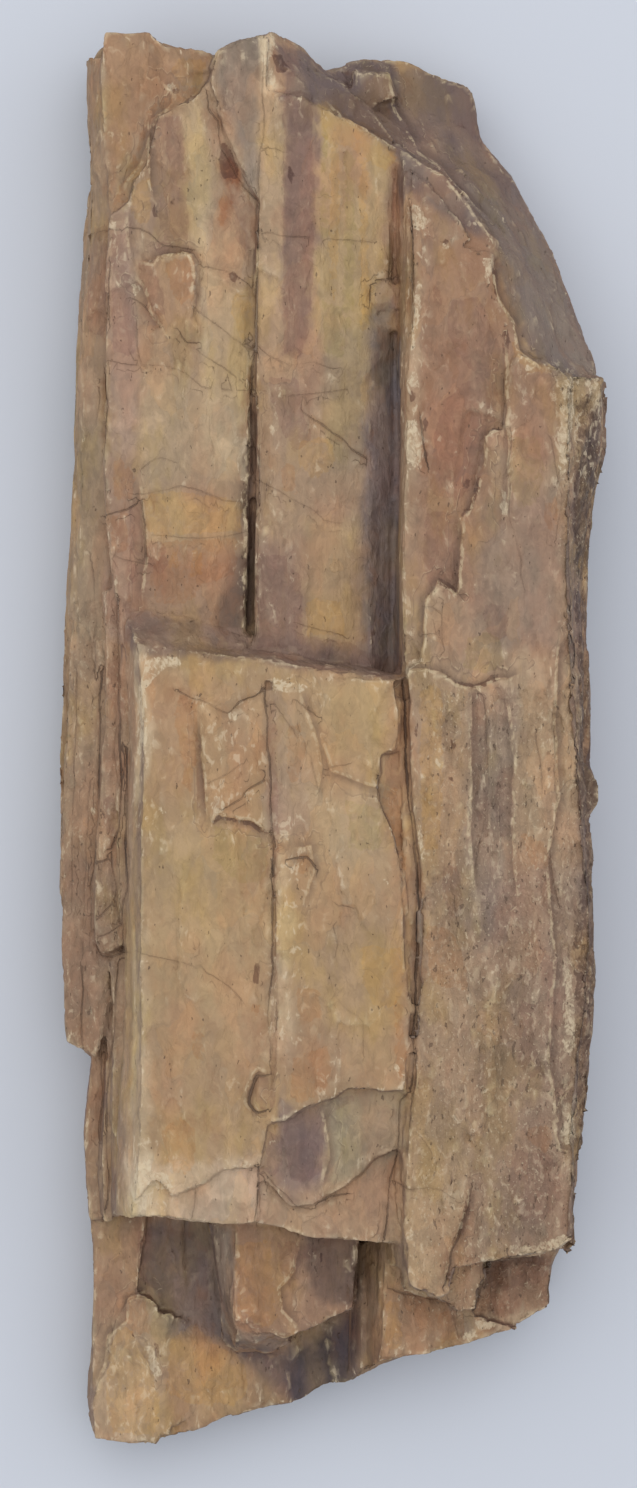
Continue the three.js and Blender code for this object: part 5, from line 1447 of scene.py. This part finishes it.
def colourStone(stone):
    mesh = stone.data
    places, normals, links = readMesh(mesh)
    bulge = bulgeOf(places, normals, links, colouring["edgeReach"])[0]
    hollow = hollowStrength(stone, places, normals)
    print("stage: hollows found")
    colours = tintSurface(places, normals, bulge, hollow)
    opaque = np.column_stack([colours, np.ones(len(places))])
    tint = mesh.attributes.new("stoneTint", "FLOAT_COLOR", "POINT")
    tint.data.foreach_set("color", opaque.astype(np.float32).ravel())
    for kind, shading in (("line", lineShading), ("ledge", ledgeShading)):
        signed, strength = shading(places, normals)
        storeNumbers(mesh, kind + "Distance", signed)
        storeNumbers(mesh, kind + "Strength", strength)
    for kind, depth in markDepths(leaned(places, normals)).items():
        storeNumbers(mesh, kind + "Depth", depth)
    lifted = smoothStep(places[:, 2], stoneShape["restingHeight"], 2)   # the resting face is plain
    rubbed = smoothStep(bulgeOf(places, normals, links, colouring["rubbedReach"])[0], 0.05, 0.6)
    rubbed *= smoothStep(normals[:, 2], 0, 0.5)
    storeNumbers(mesh, "coarse", coarseStrength(places))
    storeNumbers(mesh, "lively", 1 - areasStrength(places, calmAreas))
    storeNumbers(mesh, "fibrous", 0.5 + (fibrousStrength(places, normals) - 0.5) * lifted)
    storeNumbers(mesh, "stain", stainStrength(places, normals, hollow) * lifted)
    storeNumbers(mesh, "rubbed", np.maximum(rubbed, areasStrength(places, rubbedAreas)) * lifted)


# repeats per mm of each pattern, across, along and up
grainScales = {
    "thread": (2.3, 0.16, 2.3),      # fine threads
    "fibre": (0.85, 0.055, 0.85),    # coarser fibres
    "band": (0.30, 0.012, 0.30),
    "blotch": (0.20, 0.10, 0.20),
    "mottle": (0.75, 0.42, 0.75),
    "hue": (0.085, 0.04, 0.085),
    "speck": (1.1, 0.5, 1.1),
    "crystal": (1.6, 1.2, 1.6),
    "island": (0.11, 0.07, 0.11),
    "chiplet": (0.42, 0.28, 0.42),
    "layer": (0.12, 0.045, 0.12),    # edges of split layers
    "scar": (0.15, 0.075, 0.15),     # flake scars
    "chip": (0.50, 0.27, 0.50),      # small chips
    "bend": (0.30, 0.16, 0.30),
    "fineBend": (1.3, 1.0, 1.3),
    "border": (0.55, 0.40, 0.55),    # how the markings' borders wander
    "worn": (0.7, 0.5, 0.7),         # where the markings are worn away
    "pale": (1.3, 0.8, 1.3),
    "crust": (0.55, 0.35, 0.55),
    "stain": (0.22, 0.12, 0.22),
    "waver": (1.2, 1.2, 1.2),        # how the cracks waver
    "width": (0.25, 0.25, 0.25),     # where the cracks are wide
}

# colours laid over the stone's own, and how strongly
paints = {
    "stain": ("8a5f40", 0.55),
    "speck": ("5a4638", 0.6),
    "crystal": ("cfbb9c", 0.5),
    "freckle": ("d9c6a6", 0.65),
    "pale": ("d8c5a4", 1.0),
    "shade": ("5a463b", 0.55),
    "rim": ("d2bd98", 0.55),
    "halo": ("755640", 0.40),
    "ink": ("4a382e", 1.0),
}

# how high each pattern stands in the fine relief
reliefHeights = {
    "fibres": 0.35,
    "threads": 0.10,
    "mottle": 0.20,
    "scars": 0.17,
    "crystals": 0.45,
    "specks": -0.15,
    "lines": -0.30,
}

finish = {
    "bendReach": 4.5,                # how far the bends push the scars about, mm
    "fineBendReach": 0.5,
    "layerCount": 8,
    "layerFlat": 0.82,               # how much of each layer lies flat before it rises
    "layerHeight": 0.30,
    "broadHeight": 0.55,
    "smallHeight": 0.30,
    "facetLevel": 0.8,               # how much the facets differ in level
    "speckLimit": 0.695,             # lower gives more specks
    "borderWander": 2.4,             # how far borders wander, as a share of each kind's own reach
    "ledgeWander": 0.9,
    "lineWaver": 0.35,
    "lineWidths": (0.6, 1.4),        # thinnest and widest, as a share of the usual
    "lineEdge": 0.30,
    "haloEdge": 1.5,
    # painted light: scar edges facing this way are painted paler, and edges facing away darker
    "lightStep": (-0.16, 0.16, 0.06),    # edges facing this way look paler, mm
    # how strongly the scars' edges are painted paler towards the light and darker away from it
    "paintedLightContrast": 0.36,
    "threadContrast": 0.14,
    "fibreContrast": 0.20,
    "bandContrast": 0.26,
    "blotchContrast": 0.55,
    "mottleContrast": 0.50,
    "broadContrast": 0.07,
    "smallContrast": 0.09,
    "islandContrast": 0.12,
    "chipletContrast": 0.08,
    "roughness": 0.68,
    "gloss": 0.35,
    "bumpDistance": 0.001,
}


def buildStoneMaterial():
    material = bpy.data.materials.new("petrifiedGrain")
    material.use_nodes = True
    tree = material.node_tree
    shader = tree.nodes["Principled BSDF"]

    def node(kind, **settings):
        made = tree.nodes.new(kind)
        for key, value in settings.items():
            setattr(made, key, value)
        return made

    def plug(target, source):
        if isinstance(source, (int, float, tuple)):
            target.default_value = source
        else:
            tree.links.new(source, target)

    def sums(operation, first, second=0.0, third=0.0):
        made = node("ShaderNodeMath", operation=operation)
        for socket, value in zip(made.inputs, (first, second, third)):
            plug(socket, value)
        return made.outputs[0]

    def vectors(operation, *values, output=0):
        made = node("ShaderNodeVectorMath", operation=operation)
        for socket, value in zip(made.inputs, values):
            plug(socket, value)
        return made.outputs[output]

    def ramp(value, low, high, start=0.0, end=1.0):
        made = node("ShaderNodeMapRange", interpolation_type="SMOOTHSTEP")
        plug(made.inputs["Value"], value)
        for label, number in (("From Min", low), ("From Max", high), ("To Min", start), ("To Max", end)):
            made.inputs[label].default_value = number
        return made.outputs["Result"]

    def scaled(source, scale):
        return vectors("MULTIPLY", source, scale)

    def noise(source, name, detail, roughness=0.5, output="Fac"):
        made = node("ShaderNodeTexNoise")
        tree.links.new(scaled(source, grainScales[name]), made.inputs["Vector"])
        made.inputs["Scale"].default_value = 1
        made.inputs["Detail"].default_value = detail
        made.inputs["Roughness"].default_value = roughness
        return made.outputs[output]

    def bent(source, name, reach):
        push = noise(source, name, 2, 0.5, "Color")
        return vectors("MULTIPLY_ADD", push, (reach, reach, reach), source)

    def flakes(source, name):
        # flat facets side by side, each with its own level and lean
        made = node("ShaderNodeTexVoronoi")
        spread = scaled(source, grainScales[name])
        tree.links.new(spread, made.inputs["Vector"])
        made.inputs["Scale"].default_value = 1
        lean = vectors("SUBTRACT", made.outputs["Color"], (0.5, 0.5, 0.5))
        gap = vectors("SUBTRACT", spread, made.outputs["Position"])
        slope = vectors("DOT_PRODUCT", gap, lean, output="Value")
        apart = node("ShaderNodeSeparateColor")
        tree.links.new(made.outputs["Color"], apart.inputs["Color"])
        level = sums("MULTIPLY_ADD", apart.outputs["Red"], finish["facetLevel"], slope)
        return level, apart.outputs["Green"]

    def layers(source):
        # long ledges, one above the other
        rise = sums("MULTIPLY", noise(source, "layer", 2, 0.45), finish["layerCount"])
        step = sums("FLOOR", rise)
        return sums("ADD", step, ramp(sums("SUBTRACT", rise, step), finish["layerFlat"], 1.0))

    def scarHeights(source):
        broad, broadTone = flakes(source, "scar")
        small, smallTone = flakes(source, "chip")
        height = sums("MULTIPLY", small, finish["smallHeight"])
        height = sums("MULTIPLY_ADD", broad, finish["broadHeight"], height)
        return sums("MULTIPLY_ADD", layers(source), finish["layerHeight"], height), broadTone, smallTone

    def attribute(name, output="Fac"):
        return node("ShaderNodeAttribute", attribute_name=name).outputs[output]

    def mixed(factor, first, second, blend="MIX"):
        made = node("ShaderNodeMix", data_type="RGBA", blend_type=blend)
        for socket, value in ((made.inputs[0], factor), (made.inputs[6], first), (made.inputs[7], second)):
            plug(socket, value)
        return made.outputs[2]

    def painted(under, mask, name):
        hexText, amount = paints[name]
        return mixed(sums("MULTIPLY", mask, amount), under, linear(hexText))

    def brighter(colour, factor):
        made = node("ShaderNodeVectorMath", operation="SCALE")
        tree.links.new(colour, made.inputs[0])
        tree.links.new(factor, made.inputs["Scale"])
        return made.outputs[0]

    coords = node("ShaderNodeTexCoord").outputs["Object"]
    places = scaled(coords, (1000, 1000, 1000))   # in millimetres
    coarse = attribute("coarse")
    fibrous = attribute("fibrous")
    colour = attribute("stoneTint", "Color")

    threads = noise(places, "thread", 2)
    fibres = noise(places, "fibre", 3, 0.55)
    bands = noise(places, "band", 3, 0.55)
    hues = noise(places, "hue", 4, 0.6)
    specks = noise(places, "speck", 3, 0.55)
    crystals = noise(places, "crystal", 3, 0.6)
    bentPlaces = bent(places, "bend", finish["bendReach"])
    bentFinely = bent(bentPlaces, "fineBend", finish["fineBendReach"])
    blotches = noise(bentPlaces, "blotch", 4, 0.55)
    mottle = noise(bentPlaces, "mottle", 3, 0.55)
    scars, broadTone, smallTone = scarHeights(bentFinely)
    # painted light: the scars are looked at again a little way towards the light, and the difference lights
    # or shades their edges
    scarsAside = scarHeights(vectors("ADD", bentFinely, finish["lightStep"]))[0]
    lit = sums("MAXIMUM", sums("MINIMUM", sums("SUBTRACT", scars, scarsAside), 0.4), -0.4)
    flaked = ramp(sums("MULTIPLY_ADD", coarse, 0.15, blotches), 0.40, 0.62, 0.25, 1.0)

    # value changes along the grain, in bands and in blotches, and painted light and shade at the edges of
    # scars
    level = 0.0
    for pattern, contrast in (
        (threads, sums("MULTIPLY", fibrous, finish["threadContrast"])),
        (fibres, sums("MULTIPLY", fibrous, finish["fibreContrast"])),
        (bands, finish["bandContrast"]),
        (blotches, finish["blotchContrast"]),
        (mottle, finish["mottleContrast"]),
        (broadTone, finish["broadContrast"]),
        (smallTone, sums("MULTIPLY", flaked, finish["smallContrast"])),
        (ramp(noise(bentFinely, "island", 4, 0.6), 0.495, 0.52), finish["islandContrast"]),
        (ramp(noise(bentFinely, "chiplet", 4, 0.6), 0.495, 0.52), finish["chipletContrast"]),
    ):
        level = sums("ADD", level, sums("MULTIPLY", sums("SUBTRACT", pattern, 0.5), contrast))
    # painted light and shade on the scars' edges
    level = sums("ADD", level, sums("MULTIPLY", lit, sums("MULTIPLY", flaked, finish["paintedLightContrast"])))
    colour = brighter(colour, sums("MULTIPLY_ADD", level, attribute("lively"), 1.0))

    # pinker and yellower places
    for mask, factor in (
        (ramp(hues, 0.50, 0.66), (1.05, 0.95, 0.92, 1)),
        (ramp(hues, 0.50, 0.36), (1.02, 1.01, 0.84, 1)),
        (ramp(broadTone, 0.55, 0.9, 0, 0.7), (1.05, 0.99, 0.90, 1)),
        (ramp(smallTone, 0.6, 0.9, 0, 0.5), (0.97, 0.97, 1.0, 1)),
    ):
        colour = mixed(mask, colour, factor, "MULTIPLY")

    # markings with crisp borders, partly worn away inside
    wander = sums("SUBTRACT", noise(bentPlaces, "border", 4, 0.6), 0.5)
    worn = ramp(noise(bentFinely, "worn", 3, 0.6), 0.36, 0.50, 0.45, 1.0)
    for kind, (factor, reach) in markKinds.items():
        inside = sums("MULTIPLY_ADD", wander, finish["borderWander"] * reach, attribute(kind + "Depth"))
        mark = sums("MULTIPLY", ramp(inside, -0.10, 0.14), worn)
        if kind == "pale":
            broken = ramp(noise(bentFinely, "pale", 3, 0.6), 0.38, 0.56, 0.12, 0.70)
            colour = painted(colour, sums("MULTIPLY", mark, broken), "pale")
            continue
        if kind == "crust":
            clods = ramp(noise(bentFinely, "crust", 4, 0.65), 0.36, 0.54, 0.15, 1.0)
            mark = sums("MULTIPLY", mark, clods)
        colour = mixed(mark, colour, factor + (1,), "MULTIPLY")

    # rusty stains
    stained = ramp(noise(bentPlaces, "stain", 4, 0.6), 0.50, 0.68)
    colour = painted(colour, sums("MULTIPLY", stained, attribute("stain")), "stain")

    # dark specks, more of them where the surface is weathered
    speckLimit = sums("SUBTRACT", finish["speckLimit"], sums("MULTIPLY", coarse, 0.05))
    speck = ramp(sums("SUBTRACT", specks, speckLimit), 0.0, 0.045)
    colour = painted(colour, speck, "speck")

    # pale grains in the weathered areas, and pale freckles where the surface is rubbed
    colour = painted(colour, sums("MULTIPLY", ramp(crystals, 0.60, 0.70), coarse), "crystal")
    colour = painted(colour, sums("MULTIPLY", ramp(mottle, 0.56, 0.66), attribute("rubbed")), "freckle")

    # low steps: shade on the low side, a pale worn rim on the high side
    ledge = attribute("ledgeStrength")
    across = sums("MULTIPLY_ADD", wander, finish["ledgeWander"], attribute("ledgeDistance"))
    shade = sums("MULTIPLY", ramp(across, -0.10, 0.12), ramp(across, 0.15, 1.9, 1, 0))
    colour = painted(colour, sums("MULTIPLY", shade, ledge), "shade")
    rim = sums("MULTIPLY", ramp(across, -0.85, -0.55), ramp(across, -0.20, -0.05, 1, 0))
    rim = sums("MULTIPLY", sums("MULTIPLY", rim, ledge), ramp(mottle, 0.44, 0.54))
    colour = painted(colour, rim, "rim")

    # drawn cracks and veins, now thin and now wide
    strength = attribute("lineStrength")
    waver = sums("MULTIPLY", sums("SUBTRACT", noise(places, "waver", 2), 0.5), finish["lineWaver"])
    offset = sums("ABSOLUTE", sums("ADD", attribute("lineDistance"), waver))
    width = ramp(noise(places, "width", 2), 0.3, 0.7, *finish["lineWidths"])
    offset = sums("DIVIDE", offset, sums("MULTIPLY", width, sums("MULTIPLY_ADD", strength, 0.7, 0.45)))
    halo = sums("MULTIPLY", ramp(offset, 0.1, finish["haloEdge"], 1, 0), strength)
    colour = painted(colour, halo, "halo")
    line = sums("MULTIPLY", ramp(offset, 0.04, finish["lineEdge"], 1, 0), strength)
    ink = sums("MULTIPLY", line, sums("MULTIPLY_ADD", strength, 0.40, 0.45))
    colour = painted(colour, ink, "ink")
    tree.links.new(colour, shader.inputs["Base Color"])

    # relief finer than the mesh
    relief = 0.0
    for pattern, name, where in (
        (fibres, "fibres", fibrous),
        (threads, "threads", fibrous),
        (mottle, "mottle", None),
        (scars, "scars", flaked),
        (crystals, "crystals", coarse),
        (speck, "specks", None),
        (line, "lines", None),
    ):
        height = reliefHeights[name]
        if where is not None:
            height = sums("MULTIPLY", where, height)
        relief = sums("MULTIPLY_ADD", pattern, height, relief)
    bump = node("ShaderNodeBump")
    bump.inputs["Strength"].default_value = 1
    bump.inputs["Distance"].default_value = finish["bumpDistance"]
    tree.links.new(relief, bump.inputs["Height"])
    tree.links.new(bump.outputs["Normal"], shader.inputs["Normal"])

    uneven = ramp(blotches, 0.3, 0.7, finish["roughness"] - 0.1, finish["roughness"] + 0.12)
    tree.links.new(uneven, shader.inputs["Roughness"])
    shader.inputs["Specular IOR Level"].default_value = finish["gloss"]
    return material


stone = shapeStone()
colourStone(stone)
stone.data.materials.clear()
stone.data.materials.append(buildStoneMaterial())
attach(stone, "root")
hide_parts("petrified_wood")
print("stage: stone finished")
